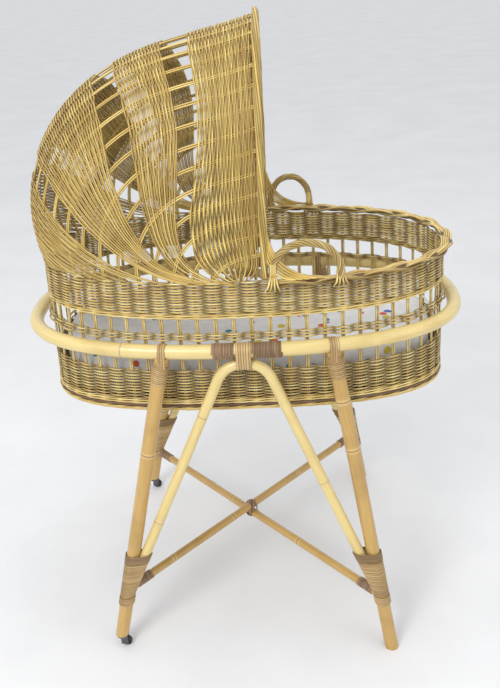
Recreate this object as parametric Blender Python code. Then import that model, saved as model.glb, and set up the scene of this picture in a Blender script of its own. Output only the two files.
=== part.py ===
"""A wicker bassinet: a woven basket with a fixed hood, on a splayed rattan stand.

Metres, +Z up. The origin is on the floor under the middle of the stand. +X points to
the open foot end, the hood stands over the -X half, and the right side is -Y.
"""

from functools import cache
from math import asin, copysign, cos, pi, radians, sin, sqrt

import bmesh
import bpy
from mathutils import Vector

X_AXIS = Vector((1, 0, 0))
Y_AXIS = Vector((0, 1, 0))
Z_AXIS = Vector((0, 0, 1))
RIGHT, LEFT = -1, 1
SIDES = {"right": RIGHT, "left": LEFT}
ENDS = ("head", "foot")

GAP = 0.0003  # between pieces that touch
CUT = 0.02  # how far a cutting shape reaches past what it cuts

# The hoop is the bent pole that carries the basket, measured to its middle line.
HOOP_HALF_LENGTH = 0.4165
HOOP_HALF_WIDTH = 0.227
HOOP_SQUARENESS = 2.45
HOOP_HEIGHT = 0.6485
HOOP_RADIUS = 0.0135
HOOP_POINTS = 64

# Legs run from under the hoop to the floor, splayed both ways.
LEG_RADIUS = 0.0135
LEG_TOP_X = {"head": -0.1425, "foot": 0.1625}
LEG_FOOT_X = {"head": -0.286, "foot": 0.2735}
LEG_FOOT_Y = {"head": 0.2785, "foot": 0.299}
SADDLE_DEPTH = 0.0045  # how far a leg's top rises around the hoop

# The arch is one bent pole on each side, from leg to leg under the hoop.
ARCH_RADIUS = 0.010
ARCH_MIDDLE_X = 0.0035
ARCH_SHOULDER = 0.036  # from the middle to where its two straight lines would meet the top
ARCH_END_HEIGHT = 0.115

# Two stretchers cross between the legs, one over the other.
STRETCHER_RADIUS = 0.0085
STRETCHER_HEIGHT = 0.130
STRETCHER_CLEARANCE = 0.001

# Cane bindings
CANE = 0.0018
STRAP_HALF_WIDTH = 0.007
STRAP_DROP = HOOP_RADIUS + 0.0025
# along the leg, from the hoop's middle line
LEG_WRAP = (HOOP_RADIUS + 0.0050, HOOP_RADIUS + 0.0485)
JOINT_WRAP_HEIGHTS = (0.105, 0.128, 0.153, 0.178, 0.203, 0.225)
JOINT_WRAP_SLACK = 0.0012
STRETCHER_WRAP = (0.008, 0.060)  # along the stretcher, from the leg's middle line
LASHING_REACH = 0.016
SPLICE_WRAPS = {"head": (-0.053, -0.0115), "foot": (0.0185, 0.072)}
ARCH_STRAP_HALF_WIDTH = 0.0135

# Casters are under the two head-end legs.
CASTER_HEIGHT = 0.030
WHEEL_WIDTH = 0.009
AXLE_RADIUS = 0.0015
CASTER_TRAIL = 0.008
CHEEK = 0.002
CHEEK_CLEARANCE = 0.0007
CHEEK_REACH = (0.003, 0.0035)  # behind the pivot, and in front of the hub
CHEEK_DROP = 0.004  # below the hub
TYRE_EDGE = 0.0015
PIN_CLEARANCE = 0.0003
PLATE_RADIUS = 0.0128
PLATE_THICKNESS = 0.003
CROWN_RADIUS = 0.0095
CROWN_THICKNESS = 0.0040
WHEEL_HEADROOM = 0.002  # under the crown
WHEEL_RADIUS = (CASTER_HEIGHT - PLATE_THICKNESS - CROWN_THICKNESS - WHEEL_HEADROOM) / 2
STEM_RADIUS = 0.003
STEM_LENGTH = 0.020
STEM_PLAY = 0.001

# The basket's wall is an oval that widens towards the rim, measured to its middle.
BASKET_SHIFT = 0.004
BASKET_BOTTOM = HOOP_HEIGHT - 0.140
# Each oval is its half length, half width and squareness.
FLOOR_OVAL = (HOOP_HALF_LENGTH - 0.0305, HOOP_HALF_WIDTH - 0.036, 2.95)
RIM_OVAL = (HOOP_HALF_LENGTH - 0.0315, HOOP_HALF_WIDTH - 0.014, 2.25)
WALL_THICKNESS = 0.005
STAKES = 60
STAKE_WIDTH = 0.0075
STAKE_STEPS = 40  # places round the wall from one stake to the next
FOOT_BORDER_HEIGHT = 0.008
FOOT_BORDER_REACH = 0.0045
BOARD_THICKNESS = 0.0055
BOARD_REACH = 0.0045
LOWER_WEAVE_TOP = HOOP_HEIGHT - 0.0515
WALE_HEIGHT = 0.0115
# The straps rise above the hoop's top this far in from its middle, and the wale stands out
# to rest on the hoop inside them.
STRAP_RISE = sqrt((HOOP_RADIUS + 3 * GAP + CANE) ** 2 - (HOOP_RADIUS + GAP) ** 2)
WALE_TO_HOOP = 0.02198
WALE_REACH = WALE_TO_HOOP - STRAP_RISE
UPPER_WEAVE_BOTTOM = HOOP_HEIGHT + 0.0565
WALL_TOP = HOOP_HEIGHT + 0.117
HOOD_SEAT = WALL_TOP + 0.0065  # the wall is this high where the hood grows out of it

# The rim's braided border runs round the foot half of the wall.
BORDER_HALF_WIDTH = 0.0135
BORDER_HALF_HEIGHT = 0.0075
BORDER_OVERHANG = 0.0085
BORDER_END_GAP = 0.0015
HANDLES = {"right": (0.120, 0.060), "left": (0.103, 0.043)}  # middle, half span
HANDLE_TOP = WALL_TOP + 0.0765
HANDLE_RADIUS = 0.0065
HANDLE_FULLNESS = 0.8  # below 1 the loop's shoulders are square, at 1 it is half an ellipse

# The hood is a fan of arches about a line across the basket. Its radius is the rim's half
# length and this much more, at equal steps from level, at the head end, to upright, at the
# front edge.
HOOD_GROWTH = (0.0, 0.044, 0.048, 0.025, 0.0315)
HOOD_RADII = [RIM_OVAL[0] + growth for growth in HOOD_GROWTH]
HOOD_FRONT_X = 0.041
HOOD_FRONT_HALF_WIDTH = RIM_OVAL[1] - 0.006
HOOD_FRONT_SQUARENESS = 2.15
# A row of weaving leaves the rim at x, and its middle stands at an angle; the higher its
# rise, the sooner it stands up from the rim.
HOOD_BANDS = {
    "hood_weave_back": ((-0.145, 0.0, 2.1), (-0.145, 22.5, 2.1)),
    "hood_weave_rear": ((-0.105, 27.5, 2.7), (-0.088, 49.1, 3.3)),
    "hood_weave_middle": ((-0.080, 55.3, 4.2), (-0.058, 67.0, 5.5)),
    "hood_weave_front": ((-0.035, 74.1, 5.5), (None, 90.0, 1.0)),
}
HOOD_ROW_START = 0.02
HOOD_RIB_GAP = 0.0010
HOOD_RIB_MARGIN = 0.12  # no ribs this near an open gap's pointed ends
HOOD_COLUMN_MARGIN = 0.03
FRONT_BORDER_HALF_HEIGHT = 0.009
FRONT_BORDER_HALF_DEPTH = 0.006
FRONT_BORDER_OVERHANG = 0.004
FRONT_BORDER_START = radians(2.0)

MATTRESS_CLEARANCE = 0.0065
MATTRESS_BASE_GAP = 0.001
MATTRESS_HEIGHT = 0.105
MATTRESS_EDGE = 0.016

# What follows from the sizes above
BOARD_BOTTOM = BASKET_BOTTOM + FOOT_BORDER_HEIGHT + GAP
BOARD_TOP = BOARD_BOTTOM + BOARD_THICKNESS
LOWER_WEAVE_BOTTOM = BOARD_TOP + GAP
WALE_BOTTOM = HOOP_HEIGHT + HOOP_RADIUS + GAP
WALE_TOP = WALE_BOTTOM + WALE_HEIGHT
HALF_WALL = WALL_THICKNESS / 2
BORDER_START_X = HOOD_FRONT_X + 2 * FRONT_BORDER_HALF_DEPTH + BORDER_END_GAP
BORDER_MIDDLE = WALL_TOP + GAP + BORDER_HALF_HEIGHT

COLOURS = {
    "pole": ((0.62, 0.50, 0.22), 0.35, 0.0),
    "leg": ((0.55, 0.32, 0.10), 0.4, 0.0),
    "dark_cane": ((0.16, 0.08, 0.035), 0.55, 0.0),
    "light_cane": ((0.52, 0.36, 0.13), 0.5, 0.0),
    "wicker": ((0.55, 0.38, 0.12), 0.55, 0.0),
    "board": ((0.15, 0.08, 0.04), 0.6, 0.0),
    "fabric": ((0.72, 0.72, 0.72), 0.9, 0.0),
    "rubber": ((0.015, 0.015, 0.015), 0.7, 0.0),
    "steel": ((0.45, 0.45, 0.46), 0.35, 1.0),
}


def material(name):
    """The named material, made once."""
    if name in bpy.data.materials:
        return bpy.data.materials[name]
    colour, roughness, metallic = COLOURS[name]
    made = bpy.data.materials.new(name)
    made.use_nodes = True
    shader = made.node_tree.nodes["Principled BSDF"]
    shader.inputs["Base Color"].default_value = (*colour, 1)
    shader.inputs["Roughness"].default_value = roughness
    shader.inputs["Metallic"].default_value = metallic
    return made


def add_piece(name, shape, looks, axis=None):
    """An object from a bmesh, with its origin on its joint's axis where it has one."""
    origin = Vector(axis) if axis else Vector((0, 0, 0))
    bmesh.ops.translate(shape, verts=shape.verts, vec=-origin)
    mesh = bpy.data.meshes.new(name)
    shape.to_mesh(mesh)
    shape.free()
    mesh.materials.append(material(looks))
    mesh.shade_smooth()
    mesh.set_sharp_from_angle(angle=radians(40))
    piece = bpy.data.objects.new(name, mesh)
    piece.location = origin
    bpy.context.scene.collection.objects.link(piece)
    return piece


def combine(piece, shape, operation="DIFFERENCE"):
    """Cuts a shape from a piece, or joins it on."""
    mesh = bpy.data.meshes.new(piece.name + "_tool")
    shape.to_mesh(mesh)
    shape.free()
    tool = bpy.data.objects.new(mesh.name, mesh)
    bpy.context.scene.collection.objects.link(tool)
    tool.hide_render = True
    tool.display_type = "WIRE"
    boolean = piece.modifiers.new("Boolean", "BOOLEAN")
    boolean.operation = operation
    boolean.object = tool


# ---- Shapes -----------------------------------------------------------------------------


def loft(rings, closed=False):
    """A closed body through rings of points; closed joins the last ring to the first."""
    shape = bmesh.new()
    rows = [[shape.verts.new(point) for point in ring] for ring in rings]
    following = rows[1:] + rows[:1] if closed else rows[1:]
    for row, after in zip(rows, following):
        for i in range(len(row)):
            shape.faces.new((row[i - 1], row[i], after[i], after[i - 1]))
    if not closed:
        shape.faces.new(rows[0])
        shape.faces.new(rows[-1])
    bmesh.ops.recalc_face_normals(shape, faces=shape.faces)
    return shape


def circle(centre, along, radius, up, sides):
    """Points round a centre, square to a direction."""
    across = along.cross(up).normalized()
    over = across.cross(along).normalized()
    turns = [2 * pi * i / sides for i in range(sides)]
    return [centre + radius * (across * cos(turn) + over * sin(turn)) for turn in turns]


def pole_rings(points, radius, up, sides=12, closed=False):
    """Rings along a bent pole."""
    rings = []
    last = len(points) - 1
    for i, centre in enumerate(points):
        before = points[i - 1] if closed or i > 0 else centre
        after = points[(i + 1) % len(points)] if closed or i < last else centre
        rings.append(circle(centre, (after - before).normalized(), radius, up, sides))
    return rings


def pole(points, radius, up, sides=12, closed=False):
    return loft(pole_rings(points, radius, up, sides, closed), closed)


def sleeve(points, radius, thickness, up, sides=12):
    """A tube wall that a pole of this radius passes through with a gap."""
    inner = (radius + GAP) / cos(pi / sides)
    outer_rings = pole_rings(points, inner + thickness, up, sides)
    inner_rings = pole_rings(points, inner, up, sides)
    return loft(outer_rings + inner_rings[::-1], closed=True)


def cylinder(radius, bottom, top, centre, sides=24):
    """An upright cylinder."""
    low = Vector((centre.x, centre.y, bottom))
    high = Vector((centre.x, centre.y, top))
    return pole([low, high], radius, Y_AXIS, sides)


def box(low, high):
    shape = bmesh.new()
    bmesh.ops.create_cube(shape, size=1)
    for vert in shape.verts:
        vert.co = Vector([b if c > 0 else a for a, b, c in zip(low, high, vert.co)])
    return shape


def hull_ring(first, first_radius, second, second_radius, sides=20):
    """The outline round two circles that lie in one level plane."""
    ring = []
    for i in range(sides):
        way = Vector((cos(2 * pi * i / sides), sin(2 * pi * i / sides), 0))
        reach_first = first.dot(way) + first_radius
        reach_second = second.dot(way) + second_radius
        if reach_first >= reach_second:
            ring.append(first + first_radius * way)
        else:
            ring.append(second + second_radius * way)
    return ring


def oval_point(half_length, half_width, squareness, angle):
    """A point on a rounded rectangle between an ellipse and a box."""
    power = 2 / squareness
    x = copysign(abs(cos(angle)) ** power, cos(angle))
    y = copysign(abs(sin(angle)) ** power, sin(angle))
    return half_length * x, half_width * y


def evenly_spaced(count, outline, samples=4000):
    """Angles at equal distances round an oval."""
    points = [oval_point(*outline, 2 * pi * i / samples) for i in range(samples + 1)]
    travelled = [0.0]
    for a, b in zip(points, points[1:]):
        travelled.append(travelled[-1] + sqrt((b[0] - a[0]) ** 2 + (b[1] - a[1]) ** 2))
    angles = []
    sample = 0
    for i in range(count):
        while travelled[sample] < travelled[-1] * i / count:
            sample += 1
        angles.append(2 * pi * sample / samples)
    return angles


# ---- The stand --------------------------------------------------------------------------

HOOP_OVAL = (HOOP_HALF_LENGTH, HOOP_HALF_WIDTH, HOOP_SQUARENESS)


def hoop_line():
    """The hoop's middle line, all the way round."""
    line = []
    for angle in evenly_spaced(HOOP_POINTS, HOOP_OVAL):
        x, y = oval_point(*HOOP_OVAL, angle)
        line.append(Vector((x, y, HOOP_HEIGHT)))
    return line


def hoop_piece(low_x, high_x, side):
    """The part of the hoop's middle line between two places on one side."""
    half = sorted((p for p in hoop_line() if p.y * side > 0), key=lambda p: p.x)
    places = [(low_x, None)] + [(p.x, p) for p in half if low_x < p.x < high_x] + [(high_x, None)]
    found = []
    for x, point in places:
        after = next(i for i, p in enumerate(half) if p.x >= x)
        a, b = half[after - 1], half[after]
        found.append(point or a.lerp(b, (x - a.x) / (b.x - a.x)))
    return found


def hoop_at(x, side):
    return hoop_piece(x, x + 0.001, side)[0]


def leg_top(end, side):
    return hoop_at(LEG_TOP_X[end], side)


def leg_foot(end, side):
    return Vector((LEG_FOOT_X[end], side * LEG_FOOT_Y[end], 0))


def leg_at(end, side, height):
    """The leg's middle line at a height, above or below its ends too."""
    top = leg_top(end, side)
    return top.lerp(leg_foot(end, side), (top.z - height) / top.z)


def leg_cutter(end, side):
    ends = [leg_at(end, side, -CUT), leg_at(end, side, HOOP_HEIGHT)]
    return pole(ends, (LEG_RADIUS + GAP) / cos(pi / 16), Y_AXIS, 16)


def make_hoop():
    add_piece("hoop_rail", pole(hoop_line(), HOOP_RADIUS, Z_AXIS, 12, closed=True), "pole")


def make_leg(end, side_name):
    """A pole with its top hollowed to seat under the hoop and its foot cut level."""
    side = SIDES[side_name]
    top = leg_top(end, side)
    ends = [leg_at(end, side, -CUT), leg_at(end, side, HOOP_HEIGHT - HOOP_RADIUS + SADDLE_DEPTH)]
    leg = add_piece(f"leg_{end}_{side_name}", pole(ends, LEG_RADIUS, Y_AXIS, 16), "leg")
    nearby = hoop_piece(top.x - 2 * CUT, top.x + 2 * CUT, side)
    combine(leg, pole(nearby, (HOOP_RADIUS + GAP) / cos(pi / 12), Z_AXIS, 12))
    level = CASTER_HEIGHT if end == "head" else 0
    floor_point = leg_at(end, side, level)
    reach = Vector((2 * CUT, 2 * CUT, 0))
    below = floor_point - reach - 4 * CUT * Z_AXIS
    combine(leg, box(below, floor_point + reach))
    if end == "head":
        bore = STEM_RADIUS + PIN_CLEARANCE
        top_of_bore = CASTER_HEIGHT + STEM_LENGTH
        combine(leg, cylinder(bore, CASTER_HEIGHT - CUT, top_of_bore, floor_point, 16))


def arch_line(side):
    """The arch's middle line, from the head-end leg over the top to the foot-end leg."""
    top = hoop_at(ARCH_MIDDLE_X, side)
    top.z = HOOP_HEIGHT - HOOP_RADIUS - CANE - 2 * GAP - ARCH_RADIUS
    halves = []
    for end, way in zip(ENDS, (-1, 1)):
        corner = top + way * ARCH_SHOULDER * X_AXIS
        foot = leg_at(end, side, ARCH_END_HEIGHT)
        bend_end = corner + ARCH_SHOULDER * (foot - corner).normalized()
        bend = []
        for i in range(1, 7):
            t = i / 6
            bend.append((1 - t) ** 2 * top + 2 * t * (1 - t) * corner + t**2 * bend_end)
        halves.append(bend + [foot])
    return halves[0][::-1] + [top] + halves[1]


def make_arch(side_name):
    side = SIDES[side_name]
    arch = add_piece(f"arch_{side_name}", pole(arch_line(side), ARCH_RADIUS, Y_AXIS, 12), "pole")
    for end in ENDS:
        combine(arch, leg_cutter(end, side))


def arch_branch_at(end, side, height):
    """The arch's middle line at a height on one of its straight branches."""
    line = arch_line(side)
    low, high = (line[0], line[1]) if end == "head" else (line[-1], line[-2])
    return low.lerp(high, (height - low.z) / (high.z - low.z))


def joint_wrap_shape(end, side, spare=0.0):
    """The outside of the cane that binds an arch's end to its leg."""
    rings = []
    for height in JOINT_WRAP_HEIGHTS:
        leg = leg_at(end, side, height)
        branch = arch_branch_at(end, side, max(height, ARCH_END_HEIGHT))
        branch.z = height
        extra = CANE + JOINT_WRAP_SLACK + spare
        rings.append(hull_ring(leg, LEG_RADIUS + extra, branch, ARCH_RADIUS + extra))
    rings[0] = [point - spare * Z_AXIS for point in rings[0]]
    rings[-1] = [point + spare * Z_AXIS for point in rings[-1]]
    return loft(rings)


def make_joint_wrap(end, side_name):
    side = SIDES[side_name]
    wrap = add_piece(f"joint_wrap_{end}_{side_name}", joint_wrap_shape(end, side), "light_cane")
    combine(wrap, leg_cutter(end, side))
    line = arch_line(side)
    branch = line[:2] if end == "head" else line[-2:]
    combine(wrap, pole(branch, (ARCH_RADIUS + GAP) / cos(pi / 12), Y_AXIS, 12))


def stretcher_line(level):
    """The upper stretcher joins the right head leg to the left foot leg; the lower one mirrors it."""
    side = RIGHT if level > 0 else LEFT
    height = STRETCHER_HEIGHT + level * (STRETCHER_RADIUS + STRETCHER_CLEARANCE / 2)
    return [leg_at("head", side, height), leg_at("foot", -side, height)]


STRETCHERS = {"upper": 1, "lower": -1}


def make_stretcher(name):
    ends = stretcher_line(STRETCHERS[name])
    stretcher = add_piece(f"stretcher_{name}", pole(ends, STRETCHER_RADIUS, Z_AXIS, 12), "pole")
    side = RIGHT if name == "upper" else LEFT
    combine(stretcher, joint_wrap_shape("head", side, GAP))
    combine(stretcher, joint_wrap_shape("foot", -side, GAP))


def make_stretcher_wrap(end, side_name):
    """The cane bound round a stretcher where it meets its leg."""
    side = SIDES[side_name]
    upper = (end == "head") == (side == RIGHT)
    line = stretcher_line(1 if upper else -1)
    start, finish = line if end == "head" else line[::-1]
    along = (finish - start).normalized()
    points = [start + distance * along for distance in STRETCHER_WRAP]
    shape = sleeve(points, STRETCHER_RADIUS, CANE, Z_AXIS)
    wrap = add_piece(f"stretcher_wrap_{end}_{side_name}", shape, "dark_cane")
    combine(wrap, joint_wrap_shape(end, side, GAP))


def make_lashing():
    """The cane bound round both stretchers where they cross."""
    shape = bmesh.new()
    cutters = []
    for level in STRETCHERS.values():
        start, finish = stretcher_line(level)
        other_start, other_finish = stretcher_line(-level)
        # Where the two lines cross in plan
        run, other_run = finish - start, other_finish - other_start
        between = other_start - start
        turn = run.x * other_run.y - run.y * other_run.x
        share = (between.x * other_run.y - between.y * other_run.x) / turn
        crossing = start + share * run
        along = run.normalized()
        ends = [crossing - LASHING_REACH * along, crossing + LASHING_REACH * along]
        for ring in pole_rings(ends, STRETCHER_RADIUS + CANE, Z_AXIS, 12):
            for point in ring:
                shape.verts.new(point)
        reach = 3 * LASHING_REACH * along
        fit = (STRETCHER_RADIUS + GAP) / cos(pi / 12)
        cutters.append(pole([crossing - reach, crossing + reach], fit, Z_AXIS, 12))
    hull = bmesh.ops.convex_hull(shape, input=shape.verts)
    loose = [item for item in hull["geom_interior"] if isinstance(item, bmesh.types.BMVert)]
    bmesh.ops.delete(shape, geom=loose, context="VERTS")
    bmesh.ops.recalc_face_normals(shape, faces=shape.faces)
    lashing = add_piece("stretcher_lashing", shape, "dark_cane")
    for cutter in cutters:
        combine(lashing, cutter)


def make_leg_wrap(end, side_name):
    side = SIDES[side_name]
    top = leg_top(end, side)
    along = (leg_foot(end, side) - top).normalized()
    points = [top + LEG_WRAP[0] * along, top + LEG_WRAP[1] * along]
    shape = sleeve(points, LEG_RADIUS, CANE, Y_AXIS, 16)
    add_piece(f"leg_wrap_{end}_{side_name}", shape, "light_cane")


def make_leg_strap(end, side_name):
    """A cane strap over the hoop, down both faces of the leg."""
    side = SIDES[side_name]
    top = leg_top(end, side)
    along_hoop = (hoop_at(top.x + 0.01, side) - hoop_at(top.x - 0.01, side)).normalized()
    down = (leg_foot(end, side) - top).normalized()
    down = (down - down.dot(along_hoop) * along_hoop).normalized()
    outward = along_hoop.cross(down)
    steps = 12
    inner = (HOOP_RADIUS + GAP) / cos(pi / 12)
    outline = []
    for radius in (inner + CANE, inner):
        arc = [pi * i / steps for i in range(steps + 1)]
        over = [radius * (cos(a) * outward - sin(a) * down) for a in arc]
        drop = STRAP_DROP * down
        outline.append([over[0] + drop] + over + [over[-1] + drop])
    rings = []
    for outer_point, inner_point in zip(*outline):
        offsets = (STRAP_HALF_WIDTH * along_hoop, -STRAP_HALF_WIDTH * along_hoop)
        corners = [top + outer_point + offset for offset in offsets]
        corners += [top + inner_point + offset for offset in offsets[::-1]]
        rings.append(corners)
    add_piece(f"leg_strap_{end}_{side_name}", loft(rings), "light_cane")


def make_splice_wrap(end, side_name):
    line = hoop_piece(*SPLICE_WRAPS[end], SIDES[side_name])
    shape = sleeve(line, HOOP_RADIUS, CANE, Z_AXIS)
    add_piece(f"splice_wrap_{end}_{side_name}", shape, "dark_cane")


def make_arch_strap(side_name):
    """A cane strap that ties the arch's top to the hoop."""
    side = SIDES[side_name]
    line = arch_line(side)
    rings = []
    for step in (-1, -0.5, 0, 0.5, 1):
        x = ARCH_MIDDLE_X + step * ARCH_STRAP_HALF_WIDTH
        hoop = hoop_at(x, side)
        after = next(i for i, point in enumerate(line) if point.x > x)
        a, b = line[after - 1], line[after]
        arch = a.lerp(b, (x - a.x) / (b.x - a.x))
        steepness = (b - a).length / abs(b.x - a.x)
        ring = []
        for i in range(20):
            turn = 2 * pi * i / 20
            way = Vector((0, cos(turn), sin(turn)))
            hoop_reach = HOOP_RADIUS + CANE + GAP
            arch_reach = ARCH_RADIUS * steepness + CANE + GAP
            if hoop.dot(way) + hoop_reach >= arch.dot(way) + arch_reach:
                point = hoop + hoop_reach * way
            else:
                point = arch + arch_reach * way
            point.x = x
            ring.append(point)
        rings.append(ring)
    strap = add_piece(f"arch_strap_{side_name}", loft(rings), "light_cane")
    spread = 3 * ARCH_STRAP_HALF_WIDTH
    nearby = hoop_piece(ARCH_MIDDLE_X - spread, ARCH_MIDDLE_X + spread, side)
    combine(strap, pole(nearby, (HOOP_RADIUS + GAP) / cos(pi / 12), Z_AXIS, 12))
    combine(strap, pole(line[1:-1], (ARCH_RADIUS + GAP) / cos(pi / 12), Y_AXIS, 12))


def make_caster(side_name):
    """A plate on the leg's end, a swivelling fork, and a wheel on its axle."""
    side = SIDES[side_name]
    pivot = leg_at("head", side, CASTER_HEIGHT)
    hub = Vector((pivot.x + CASTER_TRAIL, pivot.y, WHEEL_RADIUS))
    plate_bottom = CASTER_HEIGHT - GAP - PLATE_THICKNESS
    crown_top = plate_bottom - GAP
    crown_bottom = crown_top - CROWN_THICKNESS

    shape = cylinder(PLATE_RADIUS, plate_bottom, CASTER_HEIGHT - GAP, pivot)
    plate = add_piece(f"caster_plate_{side_name}", shape, "steel")
    hole = STEM_RADIUS + PIN_CLEARANCE
    combine(plate, cylinder(hole, plate_bottom - CUT, CASTER_HEIGHT + CUT, pivot, 16))

    crown = cylinder(CROWN_RADIUS, crown_bottom, crown_top, pivot)
    fork = add_piece(f"caster_fork_{side_name}", crown, "steel", axis=pivot)
    stem_top = CASTER_HEIGHT + STEM_LENGTH - STEM_PLAY
    inner = WHEEL_WIDTH / 2 + CHEEK_CLEARANCE
    tools = [(cylinder(STEM_RADIUS, crown_bottom + STEM_PLAY, stem_top, pivot, 16), "UNION")]
    for way in (-1, 1):
        near, far = sorted((pivot.y + way * inner, pivot.y + way * (inner + CHEEK)))
        low = Vector((pivot.x - CHEEK_REACH[0], near, WHEEL_RADIUS - CHEEK_DROP))
        high = Vector((hub.x + CHEEK_REACH[1], far, crown_top - STEM_PLAY))
        tools.append((box(low, high), "UNION"))
    across = (inner + CHEEK + CUT) * Y_AXIS
    bore = pole([hub - across, hub + across], AXLE_RADIUS + PIN_CLEARANCE, Z_AXIS, 16)
    tools.append((bore, "DIFFERENCE"))
    for tool, operation in tools:
        combine(fork, tool, operation)

    pin_half = (inner + CHEEK) * Y_AXIS
    pin = pole([hub - pin_half, hub + pin_half], AXLE_RADIUS, Z_AXIS, 16)
    add_piece(f"caster_axle_{side_name}", pin, "steel", axis=hub)

    half = WHEEL_WIDTH / 2 * Y_AXIS
    rounded = TYRE_EDGE * Y_AXIS
    outer = [
        circle(hub - half, Y_AXIS, WHEEL_RADIUS - TYRE_EDGE, Z_AXIS, 32),
        circle(hub - half + rounded, Y_AXIS, WHEEL_RADIUS, Z_AXIS, 32),
        circle(hub + half - rounded, Y_AXIS, WHEEL_RADIUS, Z_AXIS, 32),
        circle(hub + half, Y_AXIS, WHEEL_RADIUS - TYRE_EDGE, Z_AXIS, 32),
    ]
    bore_radius = AXLE_RADIUS + PIN_CLEARANCE
    inner_rings = [circle(hub + w * half, Y_AXIS, bore_radius, Z_AXIS, 32) for w in (1, -1)]
    wheel = loft(outer + inner_rings, closed=True)
    add_piece(f"caster_wheel_{side_name}", wheel, "rubber", axis=hub)


def make_stand():
    make_hoop()
    for side_name in SIDES:
        for end in ENDS:
            make_leg(end, side_name)
            make_joint_wrap(end, side_name)
            make_stretcher_wrap(end, side_name)
            make_leg_wrap(end, side_name)
            make_leg_strap(end, side_name)
            make_splice_wrap(end, side_name)
        make_arch(side_name)
        make_arch_strap(side_name)
        make_caster(side_name)
    for name in STRETCHERS:
        make_stretcher(name)
    make_lashing()


# ---- The basket -------------------------------------------------------------------------


def wall_oval(height, offset=0.0):
    """The wall's oval at a height, moved out by an offset."""
    share = (height - BASKET_BOTTOM) / (WALL_TOP - BASKET_BOTTOM)
    length, width, squareness = [a + share * (b - a) for a, b in zip(FLOOR_OVAL, RIM_OVAL)]
    return length + offset, width + offset, squareness


def wall_point(angle, height, offset=0.0):
    x, y = oval_point(*wall_oval(height, offset), angle)
    return Vector((BASKET_SHIFT + x, y, height))


@cache
def places_round(height):
    """Angles at equal distances round the wall, STAKE_STEPS of them to each stake."""
    return evenly_spaced(STAKES * STAKE_STEPS, wall_oval(height))


def wall_place(place, height, offset=0.0):
    return wall_point(places_round(height)[place], height, offset)


def stake_places():
    """Two places for each stake: its two edges."""
    middle = (BASKET_BOTTOM + WALL_TOP) / 2
    step = (wall_place(1, middle) - wall_place(0, middle)).length
    spread = max(1, round(STAKE_WIDTH / 2 / step))
    places = []
    for stake in range(STAKES):
        centre = stake * STAKE_STEPS + STAKE_STEPS // 2
        places += [centre - spread, centre + spread]
    return places


def woven_ring(sections, tips):
    """A ring of woven wall with a stake standing on each pair of columns.

    Each section is outer low, outer high, inner high and inner low; each tip is the
    outer and inner end of the stake on that column.
    """
    shape = bmesh.new()
    rows = [[shape.verts.new(point) for point in section] for section in sections]
    for i, row in enumerate(rows):
        after = rows[(i + 1) % len(rows)]
        has_stake = bool(tips) and i % 2 == 0
        for edge in range(4):
            if edge == 1 and has_stake:
                continue
            following = (edge + 1) % 4
            shape.faces.new((row[edge], after[edge], after[following], row[following]))
        if has_stake:
            ends = [tips[i][0], tips[i + 1][0], tips[i + 1][1], tips[i][1]]
            top = [shape.verts.new(point) for point in ends]
            base = [row[1], after[1], after[2], row[2]]
            for a in range(4):
                b = (a + 1) % 4
                shape.faces.new((base[a], base[b], top[b], top[a]))
            shape.faces.new(top)
    bmesh.ops.recalc_face_normals(shape, faces=shape.faces)
    return shape


def wall_ring(bottom, top, stake_top=None, outer=HALF_WALL):
    """A woven ring of the wall, with stakes on it if they are given a top."""
    sections = []
    tips = []
    for place in stake_places():
        sections.append(wall_section(place, bottom, top, outer))
        if stake_top:
            pair = [wall_place(place, stake_top, side * HALF_WALL) for side in (1, -1)]
            tips.append(pair)
    return woven_ring(sections, tips)


def wall_section(place, bottom, top, outer=HALF_WALL):
    return [
        wall_place(place, bottom, outer),
        wall_place(place, top, outer),
        wall_place(place, top, -HALF_WALL),
        wall_place(place, bottom, -HALF_WALL),
    ]


def upper_ring():
    """The upper woven ring, whose head part is higher, up to the hood."""
    last_high_x = BORDER_START_X - BORDER_END_GAP + GAP
    high = [wall_place(i, WALL_TOP).x < last_high_x for i in range(STAKES * STAKE_STEPS)]
    places = set(stake_places())
    for place, (before, this) in enumerate(zip([high[-1]] + high[:-1], high)):
        if before != this:
            places |= {place - 1, place}
    tops = {place: HOOD_SEAT - GAP if high[place] else WALL_TOP for place in places}
    sections = [wall_section(place, UPPER_WEAVE_BOTTOM, tops[place]) for place in sorted(places)]
    return woven_ring(sections, [])


def make_floor():
    """The base board and the braided border under it."""
    angles = evenly_spaced(64, FLOOR_OVAL)
    levels = (BOARD_BOTTOM, BOARD_TOP)
    rings = [[wall_point(angle, level, BOARD_REACH) for angle in angles] for level in levels]
    add_piece("base_board", loft(rings), "board")
    bottom, top = BASKET_BOTTOM, BOARD_BOTTOM - GAP
    middle = (bottom + top) / 2
    sections = []
    for angle in angles:
        section = [
            wall_point(angle, bottom, 0),
            wall_point(angle, middle, FOOT_BORDER_REACH),
            wall_point(angle, top, 0),
            wall_point(angle, middle, -FOOT_BORDER_REACH),
        ]
        sections.append(section)
    add_piece("foot_border", loft(sections, closed=True), "wicker")


def make_walls():
    lower = wall_ring(LOWER_WEAVE_BOTTOM, LOWER_WEAVE_TOP, WALE_BOTTOM - GAP)
    add_piece("lower_weave", lower, "wicker")
    wale = wall_ring(WALE_BOTTOM, WALE_TOP, UPPER_WEAVE_BOTTOM - GAP, WALE_REACH)
    add_piece("support_wale", wale, "wicker")
    add_piece("upper_weave", upper_ring(), "wicker")


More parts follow.
